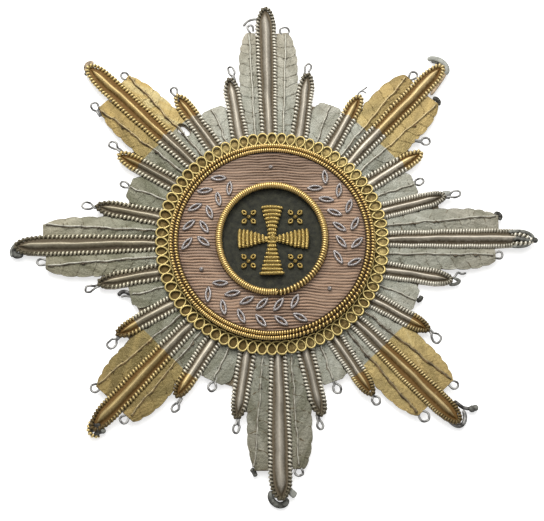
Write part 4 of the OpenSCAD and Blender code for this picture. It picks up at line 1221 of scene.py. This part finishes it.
def make_backing():
    """Cloth-covered card with rounded edges, cut to the outline of the solid."""
    points, faces, rims = [], [], {"low": [], "high": []}
    profile = ((0.12, 0), (0.03, 0.07), (0, 0.2), (0, 0.8), (0.03, 0.93), (0.12, 1))
    base = 0
    for loop in outline_loops(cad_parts["backing"]):
        inward = left(unit(np.roll(loop, -1, 0) - np.roll(loop, 1, 0)))
        count = len(loop)
        points += [raise_to(loop + inset * inward, z * CARD_T) for inset, z in profile]
        faces += flipped(cells(len(profile), count, False, True, base))
        rims["low"].append(base + np.arange(count))
        base += len(profile) * count
        rims["high"].append(base - count + np.arange(count))
    points = np.concatenate(points)
    for name, keys in rims.items():
        order = np.concatenate(keys)
        for triangle in tessellate_polygon([[Vector(points[k]) for k in ring] for ring in keys]):
            corners = order[list(triangle)].tolist()
            a, b, c = points[corners]
            up = np.cross(b - a, c - a)[2] > 0
            faces.append(corners if up == (name == "high") else corners[::-1])
    stuff = Stuff()
    stuff.add(points, faces)
    stuff.make("cloth_card", card_cloth, "card", "backing")


# Stage, light and camera

def set_up(name, data, place, target=(0, 0, 0)):
    """Camera or light at a place, turned towards a target, in metres."""
    thing = bpy.data.objects.new(name, data)
    thing.location = place
    thing.rotation_mode = "QUATERNION"
    thing.rotation_quaternion = (Vector(target) - Vector(place)).to_track_quat("-Z", "Y")
    bpy.context.collection.objects.link(thing)
    return thing


def make_stage():
    scene = bpy.context.scene
    scene.view_settings.view_transform = "Standard"
    data = bpy.data.cameras.new("camera")
    data.sensor_width, data.lens, data.clip_start = 36, LENS, 0.01
    far = CAMERA_D * MM
    scene.camera = set_up("camera", data, (0, -far * math.sin(TILT), far * math.cos(TILT)),
                          (0, AIM_Y * MM, 0))
    for name, place, size, power, colour in (
            ("softbox", (0, 0.17, 0.30), 0.34, 1.15, (1, 0.99, 0.97)),
            ("key", (-0.07, 0.20, 0.22), 0.12, 0.75, (1, 0.985, 0.96))):
        data = bpy.data.lights.new(name, "AREA")
        data.size, data.energy, data.color = size, power, colour
        set_up(name, data, place)
    world = bpy.data.worlds.new("studio")
    world.use_nodes = True
    sky = world.node_tree.nodes["Background"].inputs
    sky["Color"].default_value, sky["Strength"].default_value = (0.97, 0.98, 1, 1), 0.45
    scene.world = world
    half, z = 1.5, -0.00002
    mesh = bpy.data.meshes.new("floor")
    corners = [(-half, -half, z), (half, -half, z), (half, half, z), (-half, half, z)]
    mesh.from_pydata(corners, [], [(0, 1, 2, 3)])
    floor = bpy.data.objects.new("floor", mesh)
    bpy.context.collection.objects.link(floor)
    paint = Paint("pale floor")
    tone = paint.mix(paint.noise(60, 2), (0.71, 0.71, 0.70), (0.69, 0.69, 0.68))
    mesh.materials.append(paint.finish({
        "Base Color": tone, "Roughness": 0.8,
        "Emission Color": (1, 1, 1), "Emission Strength": 0.6,
    }))


make_stage()
make_pairs(cord, cord_metal, "cord", 10,
           (("bullion_long", "long_cord"), ("bullion_short", "short_cords")))
make_pairs(padded, ray_metal, "ray", 60,
           (("laid_ray_long", "long_ray"), ("laid_rays_short", "short_rays")))
make_feathers()
make_leaves()
make_ropes()
make_loop_ring()
make_pink_field()
make_disc()
make_laurel()
make_rosettes()
make_cross()
make_sewing_loops()
make_tips()
make_backing()
